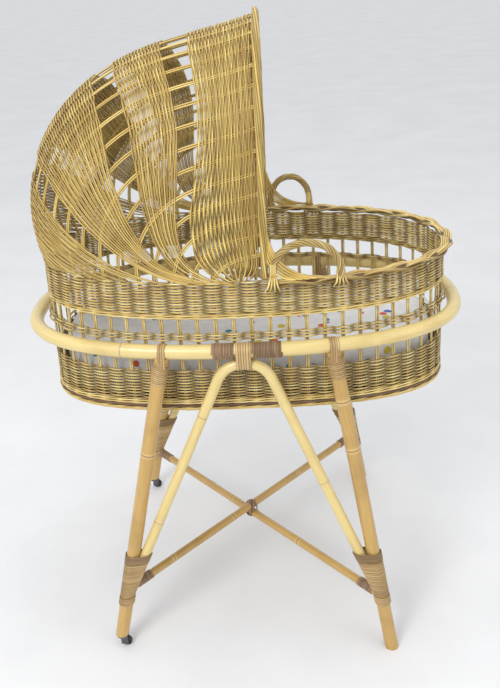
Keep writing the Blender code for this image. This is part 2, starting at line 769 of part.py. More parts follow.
def border_line():
    """The middle line of the rim's border, from the right side round the foot end."""
    oval = wall_oval(WALL_TOP, BORDER_OVERHANG)
    start = asin(1) - asin(((BORDER_START_X - BASKET_SHIFT) / oval[0]) ** (oval[2] / 2))
    steps = 36
    line = []
    for i in range(steps + 1):
        angle = -start + 2 * start * i / steps
        x, y = oval_point(*oval, angle)
        line.append(Vector((BASKET_SHIFT + x, y, BORDER_MIDDLE)))
    return line


def flat_pole(points, half_width, half_height, raised, sides=8):
    """A pole of oval section along points, half_height being measured along raised."""
    rings = []
    last = len(points) - 1
    for i, centre in enumerate(points):
        along = (points[min(i + 1, last)] - points[max(i - 1, 0)]).normalized()
        across = along.cross(raised).normalized()
        turns = [2 * pi * k / sides for k in range(sides)]
        ring = [
            centre + half_width * cos(a) * across + half_height * sin(a) * raised for a in turns
        ]
        rings.append(ring)
    return loft(rings)


def make_rim():
    border = flat_pole(border_line(), BORDER_HALF_WIDTH, BORDER_HALF_HEIGHT, Z_AXIS)
    add_piece("rim_border", border, "wicker")
    foot_height = BORDER_MIDDLE + BORDER_HALF_HEIGHT + GAP
    for side_name, (middle, half_span) in HANDLES.items():
        side = SIDES[side_name]
        points = []
        for i in range(17):
            turn = pi * i / 16
            x = middle - half_span * cos(turn)
            nearest = min(border_line(), key=lambda p: abs(p.x - x) + (p.y * side < 0))
            z = foot_height + (HANDLE_TOP - foot_height) * sin(turn) ** HANDLE_FULLNESS
            points.append(Vector((x, nearest.y, z)))
        level = points[8].y
        points = [Vector((p.x, level, p.z)) for p in points]
        shape = pole(points, HANDLE_RADIUS, Y_AXIS, 10)
        handle = add_piece(f"handle_{side_name}", shape, "wicker")
        low = Vector((middle - half_span - CUT, level - CUT, foot_height - CUT))
        high = Vector((middle + half_span + CUT, level + CUT, foot_height))
        combine(handle, box(low, high))


# ---- The hood ---------------------------------------------------------------------------


def hood_radius(angle):
    """The hood's reach from its fan line at an angle, a smooth curve through HOOD_RADII."""
    position = angle / (pi / 2) * (len(HOOD_RADII) - 1)
    total = 0.0
    for i, radius in enumerate(HOOD_RADII):
        weight = 1.0
        for k in range(len(HOOD_RADII)):
            if k != i:
                weight *= (position - k) / (i - k)
        total += radius * weight
    return total


def hood_point(across, angle, offset=0.0):
    """A point on the hood. across is 0 on the right rim and pi on the left; angle is 0 at
    the rim and pi / 2 at the front edge."""
    upright = sin(angle) ** 2
    squareness = RIM_OVAL[2] + upright * (HOOD_FRONT_SQUARENESS - RIM_OVAL[2])
    width = RIM_OVAL[1] + upright * (HOOD_FRONT_HALF_WIDTH - RIM_OVAL[1])
    radius = hood_radius(angle) + offset
    sideways, outwards = oval_point(width + offset, radius, squareness, across)
    fan_x = BASKET_SHIFT + (HOOD_FRONT_X - BASKET_SHIFT) * sin(angle)
    return Vector((fan_x - outwards * cos(angle), -sideways, HOOD_SEAT + outwards * sin(angle)))


def row_angle(row, across):
    """The fan angle of a row of weaving at a place across the hood, or None past its end."""
    leaves_rim, middle_angle, rise = row
    if leaves_rim is None:
        return radians(middle_angle)
    start = row_start(row)
    fold = min(across, pi - across)
    if fold < start:
        return None
    share = (fold - start) / (pi / 2 - start)
    return radians(middle_angle) * (1 - (1 - share) ** rise)


def row_start(row):
    """How far across the hood a row of weaving leaves the rim."""
    if row[0] is None:
        return 0.0
    share = (BASKET_SHIFT - row[0]) / HOOD_RADII[0]
    return asin(share ** (RIM_OVAL[2] / 2))


def hood_stakes():
    """How far across the hood each of the head half's stakes stands."""
    middles = range(STAKE_STEPS // 2, STAKES * STAKE_STEPS, STAKE_STEPS)
    angles = [places_round(WALL_TOP)[place] for place in middles]
    return sorted(3 * pi / 2 - angle for angle in angles if cos(angle) < 0)


def band_columns(low_row, high_row, next_row):
    """Places across the hood for a band's columns, and which of them begin a rib.

    They are places along the band's upper row, and each rib has a column at each edge.
    """
    start = row_start(high_row)
    begin = start + HOOD_ROW_START * (pi / 2 - start)
    half = STAKE_WIDTH / 2 / HOOD_RADII[2]
    columns = [(begin, False)]
    rib_limit = max(start, row_start(next_row)) + HOOD_RIB_MARGIN if next_row else pi
    for stake in hood_stakes():
        if begin + HOOD_COLUMN_MARGIN < stake - half and stake + half < pi - begin - HOOD_COLUMN_MARGIN:
            is_rib = next_row is not None and rib_limit < stake < pi - rib_limit
            columns += [(stake - half, is_rib), (stake + half, False)]
    columns.append((pi - begin, False))
    return columns


def share_along(row, across):
    """How far along its near or far half a place across the hood is, from 0 to 1."""
    start = row_start(row)
    fold = min(across, pi - across)
    return (fold - start) / (pi / 2 - start)


def place_on(row, share, far_half):
    """The place across the hood at a share along one half of a row."""
    start = row_start(row)
    fold = start + share * (pi / 2 - start)
    return pi - fold if far_half else fold


def make_hood_band(name, low_row, high_row, next_row, levels=3):
    shape = bmesh.new()
    columns = band_columns(low_row, high_row, next_row)
    rows = []
    for across, _ in columns:
        share = share_along(high_row, across)
        low_across = place_on(low_row, share, across > pi / 2)
        high_angle = row_angle(high_row, across)
        low_angle = row_angle(low_row, low_across)
        section = []
        for offset in (HALF_WALL, -HALF_WALL):
            path = []
            for level in range(levels):
                mix = level / (levels - 1)
                place = low_across + mix * (across - low_across)
                angle = low_angle + mix * (high_angle - low_angle)
                path.append(hood_point(place, angle, offset) + GAP * Z_AXIS)
            section += path if offset > 0 else path[::-1]
        rows.append([shape.verts.new(point) for point in section])
    count = 2 * levels
    for i in range(len(rows) - 1):
        row, after = rows[i], rows[i + 1]
        is_rib = columns[i][1]
        for edge in range(count):
            if is_rib and edge == levels - 1:
                continue
            following = (edge + 1) % count
            shape.faces.new((row[edge], after[edge], after[following], row[following]))
        if is_rib:
            add_rib(shape, columns[i][0], columns[i + 1][0], row, after, levels, high_row, next_row)
    shape.faces.new(rows[0])
    shape.faces.new(rows[-1])
    bmesh.ops.recalc_face_normals(shape, faces=shape.faces)
    add_piece(name, shape, "wicker")


def add_rib(shape, near, far, row, after, levels, high_row, next_row, steps=2):
    """A stake from a band's upper edge across the open gap to the next band."""
    base = [row[levels - 1], after[levels - 1], after[levels], row[levels]]
    for step in range(1, steps + 1):
        ring = []
        for across, offset in ((near, 1), (far, 1), (far, -1), (near, -1)):
            low = row_angle(high_row, across)
            high = row_angle(next_row, across) - HOOD_RIB_GAP / HOOD_RADII[2]
            angle = low + (high - low) * step / steps
            point = hood_point(across, angle, offset * HALF_WALL) + GAP * Z_AXIS
            ring.append(shape.verts.new(point))
        for a in range(4):
            b = (a + 1) % 4
            shape.faces.new((base[a], base[b], ring[b], ring[a]))
        base = ring
    shape.faces.new(base)


def make_front_border():
    """The thick braided edge of the hood's mouth."""
    points = []
    steps = 40
    for i in range(steps + 1):
        across = FRONT_BORDER_START + (pi - 2 * FRONT_BORDER_START) * i / steps
        point = hood_point(across, pi / 2, FRONT_BORDER_OVERHANG)
        point.x += FRONT_BORDER_HALF_DEPTH + GAP
        points.append(point)
    shape = flat_pole(points, FRONT_BORDER_HALF_HEIGHT, FRONT_BORDER_HALF_DEPTH, X_AXIS)
    border = add_piece("hood_front_border", shape, "wicker")
    reach = Vector((HOOP_HALF_LENGTH, HOOP_HALF_LENGTH, 0))
    low = -reach + (HOOD_SEAT - 2 * CUT) * Z_AXIS
    high = reach + (HOOD_SEAT + GAP) * Z_AXIS
    combine(border, box(low, high))


def make_hood():
    names = list(HOOD_BANDS)
    for i, name in enumerate(names):
        low_row, high_row = HOOD_BANDS[name]
        next_row = HOOD_BANDS[names[i + 1]][0] if i + 1 < len(names) else None
        make_hood_band(name, low_row, high_row, next_row)
    make_front_border()


def make_mattress():
    """A plain pad with rounded edges; its hinge line is its upper edge at the head end."""
    bottom = BOARD_TOP + MATTRESS_BASE_GAP
    top = bottom + MATTRESS_HEIGHT
    angles = evenly_spaced(48, FLOOR_OVAL)
    rings = []
    for i in range(4):
        turn = pi / 2 * i / 3
        inset = MATTRESS_EDGE * (1 - sin(turn))
        rings.append((bottom + MATTRESS_EDGE * (1 - cos(turn)), inset))
    rings += [(bottom + top - height, inset) for height, inset in rings[::-1]]
    offset = -HALF_WALL - MATTRESS_CLEARANCE
    shape = loft([[wall_point(a, z, offset - inset) for a in angles] for z, inset in rings])
    hinge = wall_point(pi, top - MATTRESS_EDGE, offset)
    add_piece("mattress", shape, "fabric", axis=hinge)


def main():
    for old in list(bpy.data.objects):
        bpy.data.objects.remove(old, do_unlink=True)
    make_stand()
    make_floor()
    make_walls()
    make_rim()
    make_hood()
    make_mattress()


main()
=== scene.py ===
"""The looks of a wicker bassinet on a rattan stand: every cane is modelled on its own."""

from math import cos, pi, radians, sin

import bmesh
import bpy
import numpy as np
from mathutils import Matrix, Vector


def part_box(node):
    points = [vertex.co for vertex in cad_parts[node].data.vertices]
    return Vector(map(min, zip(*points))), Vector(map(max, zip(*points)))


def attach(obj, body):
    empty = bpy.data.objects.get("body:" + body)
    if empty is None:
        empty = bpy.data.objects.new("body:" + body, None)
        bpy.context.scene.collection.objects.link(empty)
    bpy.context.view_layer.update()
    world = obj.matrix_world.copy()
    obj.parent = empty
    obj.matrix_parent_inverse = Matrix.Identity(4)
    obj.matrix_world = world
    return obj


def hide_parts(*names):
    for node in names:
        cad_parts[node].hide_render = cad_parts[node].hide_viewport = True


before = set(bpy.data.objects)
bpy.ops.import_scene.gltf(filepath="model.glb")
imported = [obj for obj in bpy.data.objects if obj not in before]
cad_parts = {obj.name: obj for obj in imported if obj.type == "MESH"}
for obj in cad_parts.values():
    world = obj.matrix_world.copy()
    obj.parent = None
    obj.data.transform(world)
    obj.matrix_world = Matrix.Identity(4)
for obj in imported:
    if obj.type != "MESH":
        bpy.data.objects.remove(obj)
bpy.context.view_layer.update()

X_AXIS, Y_AXIS, Z_AXIS = np.eye(3)
SIDES = {"right": -1, "left": 1}
ENDS = ("head", "foot")


def low_of(node):
    return np.array(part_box(node)[0])


def high_of(node):
    return np.array(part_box(node)[1])


def middle_of(node):
    return (low_of(node) + high_of(node)) / 2


def tenths(length):
    """A length to a tenth of a millimetre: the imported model's boxes hold 32-bit numbers."""
    return round(float(length), 4)


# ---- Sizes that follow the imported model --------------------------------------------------

HOOP_RADIUS = (high_of("hoop_rail")[2] - low_of("hoop_rail")[2]) / 2
HOOP_HEIGHT = middle_of("hoop_rail")[2]
HOOP_OVAL = (
    high_of("hoop_rail")[0] - HOOP_RADIUS,
    high_of("hoop_rail")[1] - HOOP_RADIUS,
    2.45,
)
LEG_RADIUS = 0.0135
ARCH_RADIUS = 0.010
STRETCHER_RADIUS = 0.0085
CASTER_HEIGHT = high_of("caster_plate_right")[2]

# An oval is its half length, its half width and how square it is: 2 is an ellipse.
BASKET_SHIFT = 0.004
BASKET_BOTTOM = low_of("foot_border")[2]
FLOOR_OVAL = (tenths(HOOP_OVAL[0] - 0.0305), tenths(HOOP_OVAL[1] - 0.036), 2.95)
RIM_OVAL = (tenths(HOOP_OVAL[0] - 0.0315), tenths(HOOP_OVAL[1] - 0.014), 2.25)
WALL_TOP = tenths(HOOP_HEIGHT + 0.117)
HOOD_SEAT = tenths(WALL_TOP + 0.0065)
STAKES = 60  # pairs
BOARD = (low_of("base_board")[2], high_of("base_board")[2])
LOWER_WEAVE = (low_of("lower_weave")[2], tenths(HOOP_HEIGHT - 0.0515))
WALE = (low_of("support_wale")[2], tenths(low_of("support_wale")[2] + 0.0115))
UPPER_WEAVE = (low_of("upper_weave")[2], WALL_TOP)
BORDER_START_X = low_of("rim_border")[0]
BORDER_HALF_WIDTH = 0.0135
BORDER_HALF_HEIGHT = (high_of("rim_border")[2] - low_of("rim_border")[2]) / 2
BORDER_MIDDLE = middle_of("rim_border")[2]
BORDER_OVERHANG = 0.0085

# The hood's radii are at equal angles from the rim at the head end up to its front edge.
HOOD_RADII = [tenths(RIM_OVAL[0] + growth) for growth in (0.0, 0.044, 0.048, 0.025, 0.0315)]
HOOD_FRONT_X = 0.041
HOOD_FRONT_HALF_WIDTH = tenths(RIM_OVAL[1] - 0.006)
HOOD_FRONT_SQUARENESS = 2.15

CANE_RADIUS = 0.00175


# ---- Canes -------------------------------------------------------------------------------


def unit(vectors):
    lengths = np.linalg.norm(vectors, axis=-1, keepdims=True)
    return vectors / np.maximum(lengths, 1e-12)


def blend(a, b, share):
    return a + share * (b - a)


def travelled_along(points):
    """How far each point of a line is from its start."""
    steps = np.linalg.norm(np.diff(points, axis=0), axis=1)
    return np.concatenate([[0], np.cumsum(steps)])


def quadratic(start, corner, end, t):
    """Points of a bend that leaves start towards corner and comes from there to end."""
    return (1 - t) ** 2 * start + 2 * t * (1 - t) * corner + t**2 * end


UV_GUTTER = 0.06  # left free on each side of a cane's strip of the UV map
CAP_PLACES = (0.001, 0.999)  # of a cane's two ends in its strip


class Canes:
    """Gathers swept canes, and makes one mesh of them.

    Each vertex carries its place along and round its cane in "grain", and in "cane" its
    tint, the painted light and shade that its colour takes, and how near it is to a growth ring.
    """

    def __init__(self, seed):
        self.random = np.random.default_rng(seed)
        self.points, self.quads, self.caps = [], [], []
        self.grain, self.looks, self.uvs, self.cap_uvs = [], [], [], []
        self.size = 0

    def add(
        self,
        points,
        facing,
        half_width=CANE_RADIUS,
        half_depth=None,
        closed=False,
        sides=6,
        tint=None,
        light=1.0,
        ring=0.0,
        crease_shade=0.8,
    ):
        """Sweeps an oval along points; half_depth is measured along facing."""
        points = np.asarray(points, float)
        count = len(points)
        if half_depth is None:
            half_depth = half_width
        if closed:
            along = np.roll(points, -1, 0) - np.roll(points, 1, 0)
        else:
            along = np.gradient(points, axis=0)
        along = unit(along)
        across = unit(np.cross(along, np.broadcast_to(facing, points.shape)))
        outward = np.cross(across, along)
        turn = 2 * pi * np.arange(sides) / sides
        wide = np.broadcast_to(half_width, count)[:, None, None] * across[:, None, :]
        deep = np.broadcast_to(half_depth, count)[:, None, None] * outward[:, None, :]
        rings = np.cos(turn)[None, :, None] * wide + np.sin(turn)[None, :, None] * deep
        self.points.append((points[:, None, :] + rings).reshape(-1, 3))

        index = self.size + np.arange(count * sides).reshape(count, sides)
        here = index if closed else index[:-1]
        after = np.roll(index, -1, 0) if closed else index[1:]
        beside, after_beside = np.roll(here, -1, 1), np.roll(after, -1, 1)
        self.quads.append(np.stack([here, after, after_beside, beside], -1).reshape(-1, 4))
        strip = len(self.uvs)
        spans = len(here)
        u = np.arange(spans)[:, None] / spans + np.zeros((1, sides))
        v = np.zeros((spans, 1)) + np.arange(sides)[None, :] / sides
        du, dv = 1 / spans, 1 / sides
        corners = [(u, v), (u + du, v), (u + du, v + dv), (u, v + dv)]
        flat = [
            np.stack([cu, strip + blend(UV_GUTTER, 1 - UV_GUTTER, cv)], -1) for cu, cv in corners
        ]
        self.uvs.append(np.stack(flat, 2).reshape(-1, 2))
        if not closed:
            self.caps += [index[0], index[-1][::-1]]
            self.cap_uvs += [np.array([[u, strip + 0.5]] * sides) for u in CAP_PLACES]

        grain = np.zeros((count, sides, 3))
        grain[:, :, 0] = travelled_along(points)[:, None]
        grain[:, :, 1] = np.abs(np.sin(turn / 2)) * 2 * float(np.mean(half_width))
        grain[:, :, 2] = self.random.uniform(0, 40)
        self.grain.append(grain.reshape(-1, 3))
        if tint is None:
            tint = self.random.uniform(0, 1)
        looks = np.zeros((count, sides, 3))
        looks[:, :, 0] = np.broadcast_to(tint, count)[:, None]
        # Painted shade: each cane is darkened along its two flanks, where it meets its neighbours, the
        # more the stronger the crease setting.
        flank_shade = 1 - crease_shade * (1 - np.abs(np.sin(turn))) ** 1.2
        looks[:, :, 1] = np.broadcast_to(light, count)[:, None] * flank_shade[None, :]
        looks[:, :, 2] = np.broadcast_to(ring, count)[:, None]
        self.looks.append(looks.reshape(-1, 3))
        self.size += count * sides

    def build(self, name, looks, body, replaces=()):
        """The mesh of all canes so far, as a piece that rides on a body."""
        mesh = bpy.data.meshes.new(name)
        points = np.concatenate(self.points)
        quads = np.concatenate(self.quads)
        corners = [quads.ravel()] + self.caps
        totals = np.concatenate([np.full(len(quads), 4), [len(cap) for cap in self.caps]])
        corners = np.concatenate(corners).astype(np.int32)
        totals = totals.astype(np.int32)
        starts = np.concatenate([[0], np.cumsum(totals)[:-1]]).astype(np.int32)
        mesh.vertices.add(len(points))
        mesh.vertices.foreach_set("co", points.astype(np.float32).ravel())
        mesh.loops.add(len(corners))
        mesh.loops.foreach_set("vertex_index", corners)
        mesh.polygons.add(len(totals))
        mesh.polygons.foreach_set("loop_start", starts)
        mesh.update(calc_edges=True)
        for attribute, values in (("grain", self.grain), ("cane", self.looks)):
            layer = mesh.attributes.new(attribute, "FLOAT_VECTOR", "POINT")
            layer.data.foreach_set("vector", np.concatenate(values).astype(np.float32).ravel())
        uvs = np.concatenate(self.uvs + self.cap_uvs)
        uvs[:, 1] /= len(self.uvs)
        layer = mesh.uv_layers.new(name="OFBake")
        layer.uv.foreach_set("vector", uvs.astype(np.float32).ravel())
        mesh.shade_smooth()
        mesh.set_sharp_from_angle(angle=radians(75))
        return place(name, mesh, looks, body, replaces)


def add_to_scene(name, data):
    added = bpy.data.objects.new(name, data)
    bpy.context.scene.collection.objects.link(added)
    return added


def place(name, mesh, looks, body, replaces=()):
    piece = add_to_scene(name, mesh)
    mesh.materials.append(looks)
    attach(piece, body)
    if replaces:
        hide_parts(*replaces)
    return piece


# ---- Materials ---------------------------------------------------------------------------


class Nodes:
    """A short way to write a material's nodes."""

    def __init__(self, name):
        self.material = bpy.data.materials.new(name)
        self.material.use_nodes = True
        self.tree = self.material.node_tree
        self.shader = self.tree.nodes["Principled BSDF"]

    def node(self, kind, inputs=(), **settings):
        made = self.tree.nodes.new("ShaderNode" + kind)
        for key, value in settings.items():
            setattr(made, key, value)
        for key, value in dict(inputs).items():
            self.put(made.inputs[key], value)
        return made

    def put(self, socket, value):
        if isinstance(value, bpy.types.NodeSocket):
            self.tree.links.new(value, socket)
        else:
            socket.default_value = value

    def attribute(self, name):
        return self.node("Attribute", attribute_name=name).outputs["Vector"]

    def parts(self, vector):
        return self.node("SeparateXYZ", {"Vector": vector}).outputs

    def stretch(self, vector, scale):
        inputs = {"Vector": vector, "Scale": scale}
        return self.node("Mapping", inputs).outputs["Vector"]

    def noise(self, vector, scale, detail=2.0, roughness=0.5):
        inputs = {"Vector": vector, "Scale": scale, "Detail": detail, "Roughness": roughness}
        return self.node("TexNoise", inputs).outputs["Fac"]

    def remap(self, value, low, high, to_low=0.0, to_high=1.0):
        keys = ("Value", "From Min", "From Max", "To Min", "To Max")
        inputs = dict(zip(keys, (value, low, high, to_low, to_high)))
        return self.node("MapRange", inputs, clamp=True).outputs["Result"]

    def maths(self, operation, a, b=0.0):
        return self.node("Math", {0: a, 1: b}, operation=operation).outputs["Value"]

    def ramp(self, value, *stops):
        made = self.node("ValToRGB", {"Fac": value})
        elements = made.color_ramp.elements
        while len(elements) < len(stops):
            elements.new(0.5)
        for element, (position, colour) in zip(elements, stops):
            element.position = position
            element.color = (*colour, 1)
        return made.outputs["Color"]

    def mix(self, share, a, b, blend="MIX"):
        made = self.node("Mix", data_type="RGBA", blend_type=blend)
        self.put(made.inputs[0], share)
        for socket, value in ((made.inputs[6], a), (made.inputs[7], b)):
            is_socket = isinstance(value, bpy.types.NodeSocket)
            self.put(socket, value if is_socket else (*value, 1))
        return made.outputs[2]

    def finish(self, colour, roughness, height=None, bump=0.0002, strength=0.6, **constants):
        self.put(self.shader.inputs["Base Color"], colour)
        self.put(self.shader.inputs["Roughness"], roughness)
        for name, value in constants.items():
            self.shader.inputs[name.replace("_", " ")].default_value = value
        if height is not None:
            inputs = {"Height": height, "Distance": bump, "Strength": strength}
            normal = self.node("Bump", inputs).outputs["Normal"]
            self.put(self.shader.inputs["Normal"], normal)
        return self.material


def cane_material(name, dark, middle, light, shadow, roughness=0.42, rings=None, gloss=0.12):
    """Split or whole cane: streaks along it, a tint for each, and painted shade towards the shadow
    colour where its vertex light is low.
    """
    n = Nodes(name)
    tint, lit, ring = n.parts(n.attribute("cane"))
    grain = n.attribute("grain")
    streak = n.noise(n.stretch(grain, (14, 1500, 1)), 1.0, 3.0, 0.6)
    blotch = n.noise(n.stretch(grain, (9, 90, 1)), 1.0, 3.0, 0.55)
    place_noise = n.noise(n.node("TexCoord").outputs["Object"], 11.0, 3.0)
    level = n.maths("ADD", n.maths("MULTIPLY", tint, 0.6), n.maths("MULTIPLY", blotch, 0.4))
    colour = n.ramp(level, (0.12, dark), (0.5, middle), (0.86, light))
    worn = n.remap(streak, 0.35, 0.62, 0.0, 0.5)
    colour = n.mix(worn, colour, light)
    stain = n.remap(place_noise, 0.52, 0.70, 0.0, 0.35)
    colour = n.mix(stain, colour, dark)
    if rings:
        band = n.remap(ring, 0.25, 0.9)
        colour = n.mix(n.maths("MULTIPLY", band, 0.75), colour, rings[0])
        line = n.remap(ring, 0.93, 0.995)
        colour = n.mix(n.maths("MULTIPLY", line, 0.8), colour, rings[1])
    # Painted shade: the less light a vertex is given, the nearer its colour comes to the shadow colour.
    painted_shade = n.remap(lit, 0.0, 1.0, 0.95, 0.0)
    colour = n.mix(painted_shade, colour, shadow)
    height = n.maths("ADD", streak, n.maths("MULTIPLY", blotch, 0.5))
    rough = n.remap(blotch, 0.3, 0.7, roughness - 0.08, roughness + 0.12)
    return n.finish(colour, rough, height, Coat_Weight=gloss, Coat_Roughness=0.25)


WICKER = cane_material(
    "wicker",
    (0.38, 0.205, 0.040),
    (0.64, 0.420, 0.100),
    (0.90, 0.73, 0.310),
    (0.048, 0.022, 0.005),
)
HOOD_WICKER = cane_material(
    "hood_wicker",
    (0.34, 0.175, 0.026),
    (0.61, 0.385, 0.070),
    (0.90, 0.69, 0.230),
    (0.044, 0.020, 0.004),
)
LIGHT_CANE = cane_material(
    "light_cane",
    (0.27, 0.140, 0.045),
    (0.47, 0.290, 0.105),
    (0.70, 0.500, 0.230),
    (0.060, 0.028, 0.010),
)
DARK_CANE = cane_material(
    "dark_cane",
    (0.13, 0.062, 0.026),
    (0.26, 0.145, 0.068),
    (0.50, 0.340, 0.190),
    (0.030, 0.014, 0.007),
    0.5,
)
POLE = cane_material(
    "rattan_pole",
    (0.46, 0.310, 0.092),
    (0.67, 0.500, 0.180),
    (0.84, 0.710, 0.340),
    (0.12, 0.065, 0.020),
    0.30,
    ((0.70, 0.53, 0.24), (0.20, 0.11, 0.04)),
    0.45,
)
LEG = cane_material(
    "leg_rattan",
    (0.25, 0.130, 0.032),
    (0.48, 0.285, 0.075),
    (0.66, 0.440, 0.150),
    (0.09, 0.045, 0.015),
    0.33,
    ((0.70, 0.49, 0.20), (0.12, 0.058, 0.02)),
    0.40,
)


def board_material():
    n = Nodes("stained_board")
    where = n.node("TexCoord").outputs["Object"]
    grain = n.noise(n.stretch(where, (5, 60, 700)), 1.0, 4.0, 0.6)
    wear = n.noise(where, 30.0, 3.0)
    colour = n.ramp(grain, (0.3, (0.07, 0.036, 0.018)), (0.7, (0.20, 0.115, 0.06)))
    colour = n.mix(n.remap(wear, 0.55, 0.75, 0.0, 0.5), colour, (0.32, 0.21, 0.12))
    return n.finish(colour, n.remap(wear, 0.3, 0.7, 0.5, 0.7), grain, 0.0003)


def cotton_material():
    """White cotton with a sparse print of small coloured dabs."""
    n = Nodes("printed_cotton")
    where = n.node("TexCoord").outputs["Object"]
    warp = n.noise(n.stretch(where, (1, 1, 1)), 60.0, 2.0)
    colour = n.mix(n.remap(warp, 0.3, 0.7), (0.74, 0.745, 0.76), (0.83, 0.83, 0.84))
    dabs = (
        (23.0, 0.0, (0.05, 0.13, 0.42)),
        (23.0, 0.011, (0.62, 0.10, 0.05)),
        (20.0, 0.31, (0.62, 0.50, 0.05)),
        (27.0, 0.57, (0.04, 0.25, 0.30)),
    )
    wobble = n.node("TexNoise", {"Vector": where, "Scale": 70.0, "Detail": 1.0})
    bent = n.node("VectorMath", {0: wobble.outputs["Color"], 1: (0.006,) * 3}, operation="MULTIPLY")
    moved = n.node("VectorMath", {0: where, 1: bent.outputs["Vector"]}, operation="ADD")
    for scale, shift, paint in dabs:
        inputs = {"Vector": moved.outputs["Vector"], "Location": (shift, shift, shift / 2)}
        shifted = n.node("Mapping", inputs).outputs["Vector"]
        cells = n.node("TexVoronoi", {"Vector": shifted, "Scale": scale})
        chosen = n.remap(n.parts(cells.outputs["Color"])[0], 0.58, 0.59)
        spot = n.remap(cells.outputs["Distance"], 0.15, 0.20, 1.0, 0.0)
        colour = n.mix(n.maths("MULTIPLY", spot, chosen), colour, paint)
    threads = n.node("TexWave", {"Vector": where, "Scale": 900.0}, bands_direction="X")
    cross = n.node("TexWave", {"Vector": where, "Scale": 900.0}, bands_direction="Z")
    weave = n.maths("ADD", threads.outputs["Fac"], cross.outputs["Fac"])
    height = n.maths("ADD", n.maths("MULTIPLY", weave, 0.2), warp)
    return n.finish(colour, 0.9, height, 0.0006, 0.5, Sheen_Weight=0.15)


def steel_material():
    n = Nodes("caster_steel")
    where = n.node("TexCoord").outputs["Object"]
    spots = n.noise(where, 260.0, 4.0, 0.65)
    colour = n.ramp(spots, (0.35, (0.19, 0.19, 0.20)), (0.62, (0.10, 0.095, 0.09)))
    colour = n.mix(n.remap(spots, 0.60, 0.72, 0.0, 0.8), colour, (0.16, 0.09, 0.05))
    return n.finish(colour, n.remap(spots, 0.3, 0.7, 0.28, 0.55), spots, 0.0001, Metallic=0.9)


def rubber_material():
    n = Nodes("caster_rubber")
    where = n.node("TexCoord").outputs["Object"]
    dust = n.noise(where, 320.0, 4.0, 0.6)
    colour = n.ramp(dust, (0.35, (0.012, 0.012, 0.013)), (0.75, (0.075, 0.070, 0.065)))
    return n.finish(colour, n.remap(dust, 0.3, 0.7, 0.5, 0.8), dust, 0.0002)


BOARD_LOOKS = board_material()
COTTON = cotton_material()
STEEL = steel_material()
RUBBER = rubber_material()


# ---- The basket's and the hood's surfaces ------------------------------------------------


def oval(half_length, half_width, squareness, angle):
    power = 2 / squareness
    x = np.sign(np.cos(angle)) * np.abs(np.cos(angle)) ** power
    y = np.sign(np.sin(angle)) * np.abs(np.sin(angle)) ** power
    return half_length * x, half_width * y


def wall_oval(height):
    share = (height - BASKET_BOTTOM) / (WALL_TOP - BASKET_BOTTOM)
    return [blend(a, b, share) for a, b in zip(FLOOR_OVAL, RIM_OVAL)]


def spaced_angles(outline, count, samples=6000):
    """Angles at equal distances round an oval."""
    angles = 2 * pi * np.arange(samples + 1) / samples
    x, y = oval(*outline, angles)
    travelled = np.concatenate([[0], np.cumsum(np.hypot(np.diff(x), np.diff(y)))])
    return np.interp(np.linspace(0, travelled[-1], count + 1), travelled, angles)


LEVELS = 9
FINE = 24  # places in the table from one stake to the next
LEVEL_HEIGHTS = np.linspace(BASKET_BOTTOM, HOOD_SEAT, LEVELS)
ANGLE_TABLE = np.array([spaced_angles(wall_oval(z), STAKES * FINE) for z in LEVEL_HEIGHTS])


def wall_angle(stake, height):
    """The oval's angle at a place counted in stakes round the wall."""
    level = np.clip((height - BASKET_BOTTOM) / (HOOD_SEAT - BASKET_BOTTOM), 0, 1) * (LEVELS - 1)
    spot = np.mod(stake, STAKES) * FINE
    low_level = np.minimum(level.astype(int), LEVELS - 2)
    low_spot = np.minimum(spot.astype(int), STAKES * FINE - 1)
    up, on = level - low_level, spot - low_spot
    low, high = (
        ANGLE_TABLE[row, low_spot] * (1 - on) + ANGLE_TABLE[row, low_spot + 1] * on
        for row in (low_level, low_level + 1)
    )
    return low * (1 - up) + high * up


def oval_normal(outline, x, y):
    half_length, half_width, squareness = outline
    power = squareness - 1
    normal_x = np.sign(x) * np.abs(x / half_length) ** power / half_length
    normal_y = np.sign(y) * np.abs(y / half_width) ** power / half_width
    return unit(np.stack([normal_x, normal_y, np.zeros_like(normal_x)], -1))


def on_wall(stake, height, offset=0.0):
    """Points on the wall, moved out by an offset, and the wall's outward directions."""
    stake = np.asarray(stake, float)
    height = np.broadcast_to(np.asarray(height, float), stake.shape)
    outline = wall_oval(height)
    x, y = oval(*outline, wall_angle(stake, height))
    normals = oval_normal(outline, x, y)
    points = np.stack([BASKET_SHIFT + x, y, height], -1)
    return points + np.broadcast_to(offset, stake.shape)[:, None] * normals, normals


def hood_radius(angle):
    position = angle / (pi / 2) * (len(HOOD_RADII) - 1)
    total = 0.0
    for i, radius in enumerate(HOOD_RADII):
        weight = 1.0
        for k in range(len(HOOD_RADII)):
            if k != i:
                weight = weight * (position - k) / (i - k)
        total = total + radius * weight
    return total


def hood_fan_x(angle):
    return BASKET_SHIFT + (HOOD_FRONT_X - BASKET_SHIFT) * np.sin(angle)


def hood_outline(angle):
    """Half width and squareness of the hood's arch at a fan angle."""
    upright = np.sin(angle) ** 2
    width = blend(RIM_OVAL[1], HOOD_FRONT_HALF_WIDTH, upright)
    return width, blend(RIM_OVAL[2], HOOD_FRONT_SQUARENESS, upright)


def on_hood(across, angle, offset=0.0):
    """Points on the hood: across runs from 0 at the right rim to pi at the left."""
    width, squareness = hood_outline(angle)
    power = 2 / squareness
    outwards = (hood_radius(angle) + offset) * np.abs(np.sin(across)) ** power
    sideways = (width + offset) * np.sign(np.cos(across)) * np.abs(np.cos(across)) ** power
    x = hood_fan_x(angle) - outwards * np.cos(angle)
    z = HOOD_SEAT + outwards * np.sin(angle)
    return np.stack(np.broadcast_arrays(x, -sideways, z), -1)


